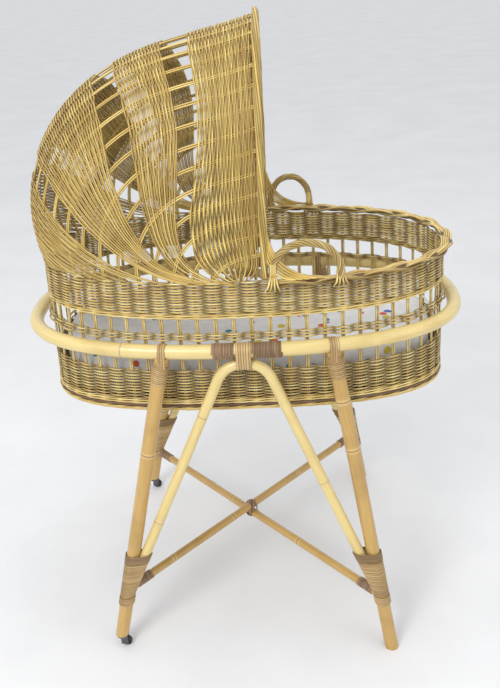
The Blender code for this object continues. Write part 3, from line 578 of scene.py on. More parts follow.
def hood_from_side(x, z, side, offset=0.0):
    """The point of the hood at an x and a z, on the right or left."""
    rise = np.maximum(z - HOOD_SEAT, 0.0)
    angle = np.arctan2(rise, np.abs(BASKET_SHIFT - x) + 1e-5)
    for _ in range(5):
        angle = np.arctan2(rise, np.abs(hood_fan_x(angle) - x) + 1e-5)
    width, squareness = hood_outline(angle)
    outwards = np.hypot(rise, hood_fan_x(angle) - x) / (hood_radius(angle) + offset)
    inside = np.maximum(1 - np.minimum(outwards, 1) ** squareness, 0)
    return np.stack([x, side * (width + offset) * inside ** (1 / squareness), z], -1)


def row_start(x):
    """How far across the hood a row starts that leaves the rim at an x."""
    return np.arcsin(((BASKET_SHIFT - x) / HOOD_RADII[0]) ** (RIM_OVAL[2] / 2))


# ---- Weaving the wall --------------------------------------------------------------------

PER_STAKE = 8  # points of a row from one stake to the next
ROUNDING = 1.5
FLATNESS = 0.92  # a row's depth to its height
ROW_WOBBLE, ROW_PINCH = 0.00035, 0.0005
LIGHT_BEHIND = 0.25  # reaches a cane where it passes a stake's side


def swing_between(stake):
    """From 1 in front of a stake to -1 behind the next, with a rounded step between."""
    wave = np.cos(pi * (stake - 0.5))
    return wave, np.tanh(ROUNDING * wave) / np.tanh(ROUNDING)


def weave(canes, height, phase, reach=0.0029, radius=0.0020, spans=None, out=0.0):
    """One row of plain weaving: in front of one stake and behind the next."""
    whole = spans is None
    first, last = (0, STAKES) if whole else spans
    count = int((last - first) * PER_STAKE)
    stake = first + (last - first) * np.arange(count + (not whole)) / count
    wave, swing = swing_between(stake + phase)
    random = canes.random
    ripple = 2 * pi * stake / STAKES * random.integers(4, 9) + random.uniform(0, 6)
    pinch = ROW_PINCH * np.abs(wave) * random.uniform(0.2, 1.0)
    joins = np.sort(random.integers(0, STAKES, 3))
    tint = random.uniform(0.0, 1.0, 4)[np.searchsorted(joins, stake)]
    tint = np.clip(tint + 0.12 * np.sin(stake * 1.7 + random.uniform(0, 6)), 0, 1)
    heights = height + ROW_WOBBLE * np.sin(ripple) - pinch
    points, normals = on_wall(stake, heights, out + reach * swing)
    light = LIGHT_BEHIND + (1 - LIGHT_BEHIND) * np.abs(wave)
    size = radius * random.uniform(0.93, 1.04)
    canes.add(points, normals, size, size * FLATNESS, closed=whole, tint=tint, light=light)


WALE_STEPS = np.array([-0.5, 0.0, 0.5, 1.0, 1.5, 2.0, 2.5])
WALE_SWING = np.array([0.0, 0.9, 1.0, 0.9, 0.0, -1.0, 0.0])
WALE_RISE = np.array([-1.0, -0.5, 0.0, 0.5, 1.0, 0.0, -1.0])


def softened(values):
    """A closed row of values with its corners rounded."""
    for _ in range(2):
        values = (np.roll(values, 1) + 2 * values + np.roll(values, -1)) / 4
    return values


def wale(canes, height, reach, rise, radius=CANE_RADIUS, out=0.0, tint_range=(0.4, 1)):
    """A round of three canes, each in front of two stakes and behind the third."""
    stake = np.arange(STAKES * PER_STAKE) / PER_STAKE
    for strand in range(3):
        step = np.mod(stake - strand, 3) - 0.5
        swing = softened(np.interp(step, WALE_STEPS, WALE_SWING))
        lift = softened(np.interp(step, WALE_STEPS, WALE_RISE))
        points, normals = on_wall(stake, height + rise * lift, out + reach * swing)
        parts = canes.random.uniform(*tint_range, STAKES // 3 + 1)
        tint = parts[((stake - strand + 0.5) // 3).astype(int) % len(parts)]
        light = np.clip(0.75 + 0.3 * swing, 0.3, 1)
        canes.add(points, normals, radius, radius, closed=True, tint=tint, light=light)


STAKE_APART = 0.054  # a stake from its pair's middle, counted in stakes
STAKE_POINTS = 14
STAKE_LIGHT = (  # by height: less of it where a band covers the stakes
    (LOWER_WEAVE[1] - 0.0070, 0.55),
    (LOWER_WEAVE[1] + 0.0050, 1.0),
    (WALE[1] - 0.0188, 1.0),
    (WALE[1] - 0.0098, 0.6),
    (WALE[1] - 0.0018, 0.6),
    (WALE[1] + 0.0062, 1.0),
    (UPPER_WEAVE[0] - 0.0050, 1.0),
    (UPPER_WEAVE[0] + 0.0030, 0.55),
)


def make_wall_stakes():
    stakes = Canes(11)
    for stake in range(STAKES):
        x = on_wall(np.array([stake + 0.5]), WALL_TOP)[0][0, 0]
        top = HOOD_SEAT if x < BORDER_START_X else WALL_TOP
        heights = np.linspace(LOWER_WEAVE[0], top, STAKE_POINTS)
        light = np.interp(heights, *zip(*STAKE_LIGHT))
        for way in (-1, 1):
            wander = 0.009 * np.sin(heights * 40 + stakes.random.uniform(0, 6))
            points, normals = on_wall(stake + 0.5 + way * STAKE_APART + wander, heights)
            tint = stakes.random.uniform(0.35, 1.0)
            stakes.add(points, normals, 0.0018, 0.0016, tint=tint, light=light)
    stakes.build("basket_stakes", WICKER, "basket")


def make_lower_band():
    band = Canes(12)
    bottom, top = LOWER_WEAVE
    wale(band, bottom + 0.0030, 0.0040, 0.0020)
    wale(band, bottom + 0.0080, 0.0038, 0.0020)
    for row, height in enumerate(np.linspace(bottom + 0.0128, top - 0.0016, 20)):
        weave(band, height, row % 2, radius=0.00178)
    band.build("lower_weave_canes", WICKER, "basket", ["lower_weave"])


def make_wale_band():
    """The rows that rest on the hoop stand out the more the lower they are."""
    band = Canes(13)
    heights = np.linspace(WALE[0] + 0.0018, WALE[1] - 0.0004, 5)
    for row, height in enumerate(heights):
        out = 0.0055 * (1 - row / (len(heights) - 1)) ** 1.5
        weave(band, height, row % 2, 0.0032, 0.0019, out=out)
    band.build("support_wale_canes", WICKER, "basket", ["support_wale"])


def make_upper_band():
    """Its last three rows run only round the head, where the hood grows out of the wall."""
    band = Canes(14)
    bottom, top = UPPER_WEAVE
    wale(band, bottom + 0.0022, 0.0040, 0.0018)
    wale(band, bottom + 0.0068, 0.0038, 0.0018, tint_range=(0.2, 0.9))
    rows = 19
    for row, height in enumerate(np.linspace(bottom + 0.0112, top - 0.0010, rows)):
        weave(band, height, row % 2)
    places = np.arange(0, STAKES / 2, 0.05)
    on_rim = on_wall(places, WALL_TOP)[0][:, 0]
    begin = float(places[np.argmax(on_rim < BORDER_START_X)])
    for row in range(3):
        height = top + 0.0024 + 0.0032 * row
        weave(band, height, (row + rows) % 2, spans=(begin, STAKES - begin))
    band.build("upper_weave_canes", WICKER, "basket", ["upper_weave"])


def make_foot():
    band = Canes(15)
    middle = (BASKET_BOTTOM + BOARD[0]) / 2
    wale(band, middle + 0.0016, 0.0042, 0.0016, 0.0018, out=0.0006, tint_range=(0.2, 0.8))
    wale(band, middle - 0.0016, 0.0036, 0.0014, 0.0018, out=0.0002, tint_range=(0.2, 0.8))
    band.build("foot_border_canes", WICKER, "basket", ["foot_border"])


# ---- Borders -----------------------------------------------------------------------------


def frames(points, raised):
    """Directions across and up at each point of a line."""
    along = unit(np.gradient(points, axis=0))
    across = unit(np.cross(along, np.broadcast_to(raised, points.shape)))
    return across, np.cross(across, along)


def roll(canes, points, raised, half_width, half_height, strands, pitch, radius, group=3, sign=1):
    """Canes that wind round an oval core at a shallow angle, in groups."""
    across, up = frames(points, raised)
    travelled = travelled_along(points)
    for strand in range(strands):
        turn = 2 * pi * (strand / strands + sign * travelled / pitch)
        in_group = (strand % group) - (group - 1) / 2
        crown = 1 - (in_group / max(group - 1, 1) * 2) ** 2 * 0.6
        lift = radius * 0.55 * crown + 0.0004 * np.sin(travelled * 60 + strand * 2.1)
        cosine, sine = np.cos(turn)[:, None], np.sin(turn)[:, None]
        wide = (half_width - radius + lift)[:, None] * cosine
        high = (half_height - radius + lift)[:, None] * sine
        line = points + wide * across + high * up
        facing = unit(cosine / half_width * across + sine / half_height * up)
        part = np.floor(travelled / pitch * 2 + strand * 0.37).astype(int)
        tint = canes.random.uniform(0.1, 1.0, part.max() + 1)[part]
        canes.add(line, facing, radius, radius * 0.9, tint=tint, light=0.45 + 0.55 * crown)


def border_line(count):
    """The rim border's middle line, from the right side round the foot end."""
    outline = wall_oval(WALL_TOP)
    outline = (outline[0] + BORDER_OVERHANG, outline[1] + BORDER_OVERHANG, outline[2])
    end = np.arccos(((BORDER_START_X - BASKET_SHIFT) / outline[0]) ** (outline[2] / 2))
    angles = spaced_angles(outline, 4000)
    angles = np.where(angles > pi, angles - 2 * pi, angles)
    angles = np.sort(angles[np.abs(angles) <= end])
    angles = angles[np.linspace(0, len(angles) - 1, count).astype(int)]
    x, y = oval(*outline, angles)
    return np.stack([BASKET_SHIFT + x, y, np.full(count, BORDER_MIDDLE)], -1)


def braid(canes, points, raised, half_width, half_height, bundle, period, radius):
    """Three bundles of canes plaited flat about a line."""
    across, up = frames(points, raised)
    travelled = travelled_along(points)
    swing = half_width - radius * (0.95 * bundle)
    lift = 0.75 * (half_height - radius)
    for rod in range(3):
        turn = 2 * pi * (travelled / period + rod / 3)
        light = np.clip(0.80 + 0.35 * np.sin(2 * turn), 0.3, 1)
        for cane in range(bundle):
            place_in = cane - (bundle - 1) / 2
            squeeze = 0.80 + 0.20 * np.cos(turn) ** 2
            jitter = 0.0005 * np.sin(travelled * 90 + 7 * rod + 3 * cane)
            sideways = swing * np.sin(turn) + 1.9 * radius * place_in * squeeze
            height = lift * np.sin(2 * turn) - 0.00045 * place_in**2 + jitter
            line = points + sideways[:, None] * across + height[:, None] * up
            part = np.floor(travelled / period * 2 + rod / 3 + 0.2 * cane).astype(int)
            tint = canes.random.uniform(0.0, 1.0, part.max() + 1)[part]
            canes.add(line, up, radius, radius * 0.95, tint=tint, light=light)


def make_rim():
    rim = Canes(21)
    line = border_line(420)
    core = (BORDER_HALF_WIDTH * 0.55, BORDER_HALF_HEIGHT * 0.30)
    rim.add(line, Z_AXIS, *core, sides=8, tint=0.1, light=0.1)
    braid(rim, line, Z_AXIS, BORDER_HALF_WIDTH, BORDER_HALF_HEIGHT, 4, 0.250, 0.0021)
    rim.build("rim_border_canes", WICKER, "basket", ["rim_border"])


HANDLE_CORE = 0.0036
HANDLE_REACH = 0.0065  # from its middle line to the outside of its canes
HANDLE_CANE = 0.0020
TAIL_PROUD = 0.0022  # the tails' middles outside the rim border
TAIL_ENDS = ((0.0062, 0.7600), (0.0048, 0.7560))  # out of the wall, and height, under the border


def make_handle(name):
    side = SIDES[name]
    node = f"handle_{name}"
    low, high = low_of(node), high_of(node)
    middle, half_span = (low[0] + high[0]) / 2, (high[0] - low[0]) / 2 - HANDLE_REACH
    foot, top = low[2] - 0.004, high[2] - HANDLE_REACH
    turn = np.linspace(0, pi, 90)
    x = middle - half_span * np.cos(turn)
    z = blend(foot, top, np.sin(turn) ** 0.8)
    line = np.stack([x, np.full_like(x, middle_of(node)[1]), z], -1)
    canes = Canes(31 if side < 0 else 32)
    canes.add(line, Y_AXIS, HANDLE_CORE, sides=8, tint=0.2, light=0.15)
    reach = HANDLE_REACH
    roll(canes, line, Y_AXIS, reach, reach, 8, 0.082, HANDLE_CANE, group=2, sign=side)
    for way in (-1, 1):
        for strand in range(4):
            spread = (strand - 1.5) / 1.5
            add_handle_tail(canes, side, way, middle + way * half_span, foot, spread)
    canes.build(f"handle_canes_{name}", WICKER, "basket", [node])


def add_handle_tail(canes, side, way, foot_x, foot, spread):
    """A cane from a handle's foot down over the border's outside and in under it."""
    bend = np.radians(np.linspace(95, -58, 18))
    ends_out, ends_height = zip(*TAIL_ENDS)
    over = BORDER_OVERHANG + (BORDER_HALF_WIDTH + TAIL_PROUD) * np.cos(bend)
    drop = BORDER_MIDDLE + (BORDER_HALF_HEIGHT + TAIL_PROUD) * np.sin(bend)
    out = np.concatenate([[BORDER_OVERHANG] * 3, over, ends_out])
    height = np.concatenate([[foot + 0.030, foot + 0.022, foot + 0.014], drop, ends_height])
    share = np.linspace(0, 1, len(out)) ** 1.5
    x = foot_x + spread * (0.0040 + 0.0085 * share) - way * 0.002 * (1 - share)
    y = side * (np.interp(x, *rim_side()) + out)
    facing = side * Y_AXIS + 0.35 * Z_AXIS
    tint = canes.random.uniform(0.3, 1)
    canes.add(np.stack([x, y, height], -1), facing, HANDLE_CANE, tint=tint)


def rim_side():
    """The rim wall's half width at each x, as two lists for np.interp."""
    angles = np.linspace(0.3, pi - 0.3, 300)
    x, y = oval(*wall_oval(WALL_TOP), angles)
    return (BASKET_SHIFT + x)[::-1], y[::-1]


# ---- The hood ----------------------------------------------------------------------------

# Each band's rows leave the rim from one x to another, stand up to a middle angle from one
# to another, and sweep forwards along the rim to end between two places.
HOOD_BANDS = {
    "hood_weave_back": ((-0.372, 1.0, 2.1), (-0.145, 22.5, 2.1), (0.012, 0.035), 50),
    "hood_weave_rear": ((-0.105, 27.5, 2.7), (-0.088, 49.1, 3.3), (0.022, 0.070), 54),
    "hood_weave_middle": ((-0.080, 55.3, 4.2), (-0.058, 67.0, 5.5), (0.030, 0.055), 30),
    "hood_weave_front": ((-0.035, 74.1, 5.5), (0.003, 89.2, 60.0), (0.030, 0.018), 36),
}
TAIL_HEIGHT = 0.062
HOOD_SAMPLES = 130  # along half a row
CLOSEST_ROWS = 0.0019  # every other row ends where they come closer than this
MOST_HALVINGS = 3
LOOSE_ROWS = 0.0034  # rows closer than this start to lie over each other
HOOD_REACH = 0.0028
ROW_LAYER = 0.0020  # rows' tails lie in three layers on the rim, four rows to a layer


def hood_row(low_row, high_row, share, tail):
    """One half of a row between a band's two edges, from its tail on the rim to its middle."""
    start = row_start(blend(low_row[0], high_row[0], share))
    low_part = 0.10 * np.linspace(0, 1, 31) ** 2
    along = np.concatenate([low_part, np.linspace(0.10, 1, HOOD_SAMPLES - 30)[1:]])
    across = blend(start, pi / 2, along)
    low_angle, high_angle = (
        radians(middle) * (1 - (1 - along) ** steepness) for _, middle, steepness in (low_row, high_row)
    )
    points = on_hood(across, blend(low_angle, high_angle, share))
    up = np.clip((points[:, 2] - HOOD_SEAT) / TAIL_HEIGHT, 0, 1)
    shift = tail * (1 - np.sqrt(np.maximum(1 - (1 - up) ** 2, 0)))
    return points, shift, across


def stake_of(across):
    """The place in stakes of a place across the hood."""
    angles = ANGLE_TABLE[-1]
    return np.interp(3 * pi / 2 - across, angles, np.arange(len(angles)) / FINE)


def band_lines(low_row, high_row, tails, rows, random):
    """The side view of each row's half, and how far across the hood its points are."""
    lines, acrosses = [], []
    for row in range(rows):
        share = row / (rows - 1)
        tail = blend(*tails, share) * random.uniform(0.92, 1.08)
        points, shift, across = hood_row(low_row, high_row, share, tail)
        layer = 0.0002 + ROW_LAYER * (row // 4 % 3)
        z = points[:, 2] + layer * np.clip(1 - (points[:, 2] - HOOD_SEAT) / 0.03, 0, 1)
        lines.append(np.stack([points[:, 0] + shift, z], -1))
        acrosses.append(across)
    return np.array(lines), acrosses


def first_point(row, pitch):
    """Where a row begins: of rows that would come too close, only some go on to the rim."""
    levels = 0
    while levels < MOST_HALVINGS and row % 2 ** (levels + 1) == 0:
        levels += 1
    reaches = pitch > CLOSEST_ROWS / 2**levels
    if levels < MOST_HALVINGS and not reaches.all():
        return len(pitch) - int(np.argmin(reaches[::-1]))
    return 0


def mirrored(right, left):
    """The right half of a row, and then the left half back from the middle."""
    return np.concatenate([right, left[::-1][1:]])


def make_hood_band(name, low_row, high_row, tails, rows, seed):
    canes = Canes(seed)
    lines, acrosses = band_lines(low_row, high_row, tails, rows, canes.random)
    along = unit(np.gradient(lines, axis=1))
    gaps = np.diff(lines, axis=0)
    pitches = np.abs(gaps[:, :, 0] * along[:-1, :, 1] - gaps[:, :, 1] * along[:-1, :, 0])
    for row in range(rows):
        pitch = np.minimum(pitches[max(row - 1, 0)], pitches[min(row, rows - 2)])
        first = first_point(row, pitch)
        if first > len(pitch) - 4:
            continue
        crowding = np.log2(CLOSEST_ROWS / np.maximum(pitch, 1e-5))
        spacing = pitch * 2 ** np.clip(np.ceil(crowding), 0, MOST_HALVINGS)
        loose = np.clip((LOOSE_ROWS - pitch) / 0.0012, 0, 1)
        x, z = lines[row].T
        halves = []
        for side in (-1, 1):
            across = acrosses[row] if side < 0 else pi - acrosses[row]
            wave, swing = swing_between(stake_of(across) + row)
            rim = np.clip((z - HOOD_SEAT) / 0.02, 0, 1)
            reach = swing * rim * (1 - 0.75 * loose) + (1 - rim) * 0.6 + 0.5 * loose
            offset = HOOD_REACH * reach + 0.0007 * loose * (-1) ** (row // 2)
            tuck = np.clip(1 - (np.arange(len(x)) - first) / 6, 0, 1)
            points = surface(x, z, across, side, offset - 0.0045 * tuck)
            light = (LIGHT_BEHIND + (1 - LIGHT_BEHIND) * np.abs(wave)) * (1 - loose) + 0.9 * loose
            light = light * (1 - 0.5 * tuck) * (1 - 0.25 * loose * (row // 2 % 2))
            halves.append((points[first:], light[first:]))
        points, light = (mirrored(*pair) for pair in zip(*halves))
        size = np.clip((0.60 - 0.12 * loose) * spacing, 0.0014, 0.0022)[first:]
        size = np.convolve(np.pad(mirrored(size, size), 4, mode="edge"), np.ones(9) / 9, "valid")
        facing = unit(points - np.array([0.02, 0, HOOD_SEAT - 0.02]))
        joins = np.sort(canes.random.integers(0, len(points), 3))
        tints = canes.random.uniform(0.0, 1.0, 4)
        tint = tints[np.searchsorted(joins, np.arange(len(points)))]
        canes.add(points, facing, size, size * FLATNESS, tint=tint, light=light)
    canes.build(name + "_canes", HOOD_WICKER, "basket", [name])


def surface(x, z, across, side, offset):
    """Hood points from the side view low down, and from across the hood higher up."""
    low = hood_from_side(x, z, side, offset)
    angle = 0.8
    for _ in range(6):
        angle = np.arctan2(z - HOOD_SEAT, np.maximum(hood_fan_x(angle) - x, 1e-4))
    high = on_hood(across, angle, offset)
    share = np.clip((z - HOOD_SEAT - TAIL_HEIGHT) / 0.01, 0, 1)[:, None]
    return low * (1 - share) + high * share


def make_hood_stakes():
    stakes = Canes(46)
    middles = np.arange(STAKES) + 0.5
    fan = np.linspace(0.0, pi / 2, 60)
    for angle in wall_angle(middles, np.full(STAKES, HOOD_SEAT)):
        if cos(angle) >= -0.03:
            continue
        across = 3 * pi / 2 - angle
        centre = on_hood(np.full(60, across), fan)
        beside = on_hood(np.full(60, across + 0.002), fan)
        way = unit(beside - centre)
        facing = unit(np.cross(way, np.gradient(centre, axis=0)))
        for shift in (-0.0018, 0.0018):
            tint = stakes.random.uniform(0.3, 1.0)
            stakes.add(centre + shift * way, facing, 0.0017, 0.0015, tint=tint, light=0.9)
    stakes.build("hood_stakes", HOOD_WICKER, "basket")


def make_hood_edge():
    edge = Canes(47)
    across = np.linspace(radians(1.0), pi - radians(1.0), 260)
    line = on_hood(across, np.full(260, pi / 2), 0.004)
    line[:, 0] += 0.0063
    edge.add(line, X_AXIS, 0.0052, 0.0034, sides=8, tint=0.1, light=0.08)
    roll(edge, line, X_AXIS, 0.009, 0.006, 9, 0.46, 0.0022, group=3)
    for side in (-1, 1):
        for strand in range(5):
            add_edge_tail(edge, side, strand)
    edge.build("hood_front_canes", HOOD_WICKER, "basket", ["hood_front_border"])


def add_edge_tail(edge, side, strand):
    """A cane that leaves the hood's front edge and turns forwards into the rim."""
    turn = np.linspace(0, 1, 24)
    lead = np.array([0.046 + 0.0035 * strand / 2, HOOD_SEAT + 0.085])
    corner = np.array([0.047 + 0.005 * strand, HOOD_SEAT + 0.004 + 0.0015 * strand])
    end = np.array([0.100 + 0.012 * strand, HOOD_SEAT + 0.0075])
    x, z = quadratic(lead, corner, end, turn[:, None]).T
    y = np.interp(x, *rim_side()) + 0.0025 + 0.014 * turn**2
    y = y - 0.010 * np.clip(1 - turn / 0.3, 0, 1)
    y = np.where(turn < 0.5, np.minimum(y, 0.2135 + 0.001 * strand + 0.004 * turn), y)
    facing = side * Y_AXIS + 0.4 * Z_AXIS
    edge.add(np.stack([x, side * y, z], -1), facing, 0.0022, tint=edge.random.uniform(0.3, 1))


# ---- The stand ---------------------------------------------------------------------------


def hoop_at(x, side):
    """The hoop's middle line at an x on one side."""
    share = 1 - (abs(x) / HOOP_OVAL[0]) ** HOOP_OVAL[2]
    return np.array([x, side * HOOP_OVAL[1] * share ** (1 / HOOP_OVAL[2]), HOOP_HEIGHT])


LEG_TOP_X = {"head": -0.1425, "foot": 0.1625}
LEG_FOOT_X = {"head": -0.286, "foot": 0.2735}
LEG_FOOT_Y = {"head": 0.2785, "foot": 0.299}
ARCH_MIDDLE_X = 0.0035
ARCH_SHOULDER = 0.036
ARCH_TOP_DROP = HOOP_RADIUS + 0.0024 + ARCH_RADIUS
ARCH_END_HEIGHT = 0.115
POLE_SIDES = 24
RING_SWELL, RING_GROOVE = 0.05, 0.035  # shares of the pole's radius
STRETCHER_HEIGHT = 0.130
STRETCHER_LIFT = STRETCHER_RADIUS + 0.0005


def leg_at(end, side, height):
    top = hoop_at(LEG_TOP_X[end], side)
    foot = np.array([LEG_FOOT_X[end], side * LEG_FOOT_Y[end], 0.0])
    return top + (foot - top) * (top[2] - height) / top[2]


def arch_line(side):
    top = hoop_at(ARCH_MIDDLE_X, side) - ARCH_TOP_DROP * Z_AXIS
    halves = []
    for end, way in (("head", -1), ("foot", 1)):
        corner = top + way * ARCH_SHOULDER * X_AXIS
        foot = leg_at(end, side, ARCH_END_HEIGHT)
        bend_end = corner + ARCH_SHOULDER * unit(foot - corner)
        bend = quadratic(top, corner, bend_end, np.linspace(0, 1, 16)[1:, None])
        run = straight(bend_end, foot, 60)[1:]
        halves.append(np.concatenate([bend, run]))
    return np.concatenate([halves[0][::-1], [top], halves[1]])


def stretcher_line(level):
    side = -1 if level > 0 else 1
    height = STRETCHER_HEIGHT + level * STRETCHER_LIFT
    return leg_at("head", side, height), leg_at("foot", -side, height)


def straight(start, end, count=120):
    return start + np.linspace(0, 1, count)[:, None] * (end - start)


def rattan(name, points, radius, facing, rings, looks, nodes, seed, closed=False, ends=None):
    """A pole with growth rings at distances along it; ends are heights it is cut level at."""
    canes = Canes(seed)
    travelled = travelled_along(points)
    total = travelled[-1] + (np.linalg.norm(points[0] - points[-1]) if closed else 0)
    swell, ring = np.zeros(len(points)), np.zeros(len(points))
    for place_on in rings:
        distance = np.abs(travelled - place_on)
        if closed:
            distance = np.minimum(distance, total - distance)
        swell += RING_SWELL * np.exp(-((distance / 0.0045) ** 2))
        swell -= RING_GROOVE * np.exp(-((distance / 0.0012) ** 2))
        ring = np.maximum(ring, np.exp(-((distance / 0.0065) ** 2)))
    turns = np.round(total / 0.16) if closed else total / 0.17
    wander = 0.012 * np.sin(2 * pi * turns * travelled / total + seed)
    size = radius * (1 + swell + wander)
    tint = canes.random.uniform(0.45, 0.6)
    canes.add(points, facing, size, closed=closed, sides=POLE_SIDES, tint=tint, ring=ring, crease_shade=0)
    cloud = canes.points[0].reshape(len(points), POLE_SIDES, 3)
    for index, height in (ends or {}).items():
        along = unit(points[index] - points[1 if index == 0 else -2])
        cloud[index] += ((height - cloud[index][:, 2]) / along[2])[:, None] * along
    return canes.build(name, looks, "stand", nodes)


def with_rings(start, end, rings, count=90):
    """Places along a straight pole, closer together near its growth rings."""
    length = np.linalg.norm(end - start)
    spots = list(np.linspace(0, length, count))
    for place_on in rings:
        spots += list(place_on + np.linspace(-0.011, 0.011, 19))
    spots = np.array(sorted(s for s in spots if 0 <= s <= length))
    return start + (spots / length)[:, None] * (end - start)


HOOP_LENGTH = 2.24  # round its middle line
HOOP_RINGS = (0.045, 0.215, 0.345, 0.455, 0.617, 0.792, 0.952)  # shares of that length
LEG_RINGS = {
    ("head", "right"): (0.20, 0.44),
    ("head", "left"): (0.15, 0.40),
    ("foot", "right"): (0.10, 0.20, 0.52),
    ("foot", "left"): (0.18, 0.36),
}
ARCH_RINGS = {"right": (0.20, 0.445, 0.63, 0.88), "left": (0.14, 0.37, 0.60, 0.80)}
STRETCHER_RINGS = (0.12, 0.30, 0.52, 0.70)


def make_poles():
    angles = spaced_angles(HOOP_OVAL, 900)[:-1]
    x, y = oval(*HOOP_OVAL, angles)
    hoop = np.stack([x, y, np.full(900, HOOP_HEIGHT)], -1)
    rings = [HOOP_LENGTH * share for share in HOOP_RINGS]
    rattan("hoop_pole", hoop, HOOP_RADIUS, Z_AXIS, rings, POLE, ["hoop_rail"], 61, True)
    for seed, ((end, name), rings) in enumerate(LEG_RINGS.items(), 63):
        side = SIDES[name]
        bottom = CASTER_HEIGHT if end == "head" else 0.0
        top = leg_at(end, side, HOOP_HEIGHT - HOOP_RADIUS + 0.004)
        line = with_rings(top, leg_at(end, side, bottom), rings)
        node, cut = f"leg_{end}_{name}", {len(line) - 1: bottom}
        rattan("pole_" + node, line, LEG_RADIUS, Y_AXIS, rings, LEG, [node], seed, ends=cut)
    for seed, (name, side) in enumerate(SIDES.items(), 71):
        line = arch_line(side)
        dense = []
        for a, b in zip(line, line[1:]):
            dense += list(straight(a, b, max(2, int(np.linalg.norm(b - a) / 0.002)))[:-1])
        dense = np.array(dense + [line[-1]])
        node, rings = f"arch_{name}", ARCH_RINGS[name]
        rattan("pole_" + node, dense, ARCH_RADIUS, Y_AXIS, rings, POLE, [node], seed)
    for seed, (name, level) in enumerate((("upper", 1), ("lower", -1)), 75):
        rings = STRETCHER_RINGS
        line = with_rings(*stretcher_line(level), rings)
        node = f"stretcher_{name}"
        rattan("pole_" + node, line, STRETCHER_RADIUS, Z_AXIS, rings, LEG, [node], seed)


# ---- Cane bindings -----------------------------------------------------------------------


def winding(canes, outline, turns, half_width, half_depth, tints=(0.2, 0.9), per_turn=26, light=0.95):
    """Cane wound in a helix over a form; outline(share, angle) gives its surface points."""
    count = int(turns * per_turn)
    angle = 2 * pi * np.arange(count + 1) / per_turn
    share = np.arange(count + 1) / count
    points, facing = outline(share, angle)
    part = (np.arange(count + 1) / per_turn).astype(int)
    tint = canes.random.uniform(*tints, part.max() + 1)[part]
    canes.add(points, facing, half_width, half_depth, tint=tint, light=light)


def round_form(line, radius, reference):
    """The outline for a winding round a line of points."""

    def outline(share, angle):
        spots = np.linspace(0, 1, len(line))
        centre = np.stack([np.interp(share, spots, line[:, k]) for k in range(3)], -1)
        across, up = frames(line, reference)
        wide = unit(np.stack([np.interp(share, spots, across[:, k]) for k in range(3)], -1))
        high = unit(np.stack([np.interp(share, spots, up[:, k]) for k in range(3)], -1))
        facing = np.cos(angle)[:, None] * wide + np.sin(angle)[:, None] * high
        return centre + radius * facing, facing

    return outline


def round_both(way, a, a_radius, b, b_radius):
    """Points in a direction on a cord pulled round two poles, in a straight run between them."""
    reach_a, reach_b = np.sum(a * way, 1) + a_radius, np.sum(b * way, 1) + b_radius
    share = 1 / (1 + np.exp(-(reach_b - reach_a) / 0.0006))[:, None]
    return (a + a_radius * way) * (1 - share) + (b + b_radius * way) * share


def hull_form(first, first_radius, second, second_radius, low, high):
    """The outline round two poles, level by level; first and second give their middles."""

    def outline(share, angle):
        height = low + share * (high - low)
        a = np.array([first(h) for h in height])
        b = np.array([second(h) for h in height])
        way = np.stack([np.cos(angle), np.sin(angle), np.zeros_like(angle)], -1)
        return round_both(way, a, first_radius, b, second_radius), way

    return outline


JOINT_SECTIONS = (  # low, high, turns, tints, half width of the cane, lift, light
    (0.1065, 0.1245, 5, (0.3, 0.9), 0.00185, 0.0008, 0.95),
    (0.126, 0.165, 10, (0.1, 0.7), 0.00195, 0.0001, 0.95),
    (0.165, 0.203, 9, (0.4, 1.0), 0.00205, 0.0003, 0.95),
    (0.2050, 0.2240, 6, (0.0, 0.15), 0.00165, 0.0009, 0.6),
)


def wind_joint(canes, end, side):
    """Cane wound round a leg and the arch's end that lies against it."""
    arch = arch_line(side)
    branch = arch[:50] if end == "head" else arch[-50:][::-1]

    def branch_at(height):
        height = max(height, ARCH_END_HEIGHT)
        return np.array([np.interp(height, branch[:, 2], branch[:, k]) for k in range(3)])

    def leg_middle(height):
        return leg_at(end, side, height)

    for low, high, turns, tints, width, lift, light in JOINT_SECTIONS:
        leg_reach, arch_reach = LEG_RADIUS + 0.0012 + lift, ARCH_RADIUS + 0.0012 + lift
        form = hull_form(leg_middle, leg_reach, branch_at, arch_reach, low, high)
        winding(canes, form, turns, width, 0.0011, tints, 44, light)


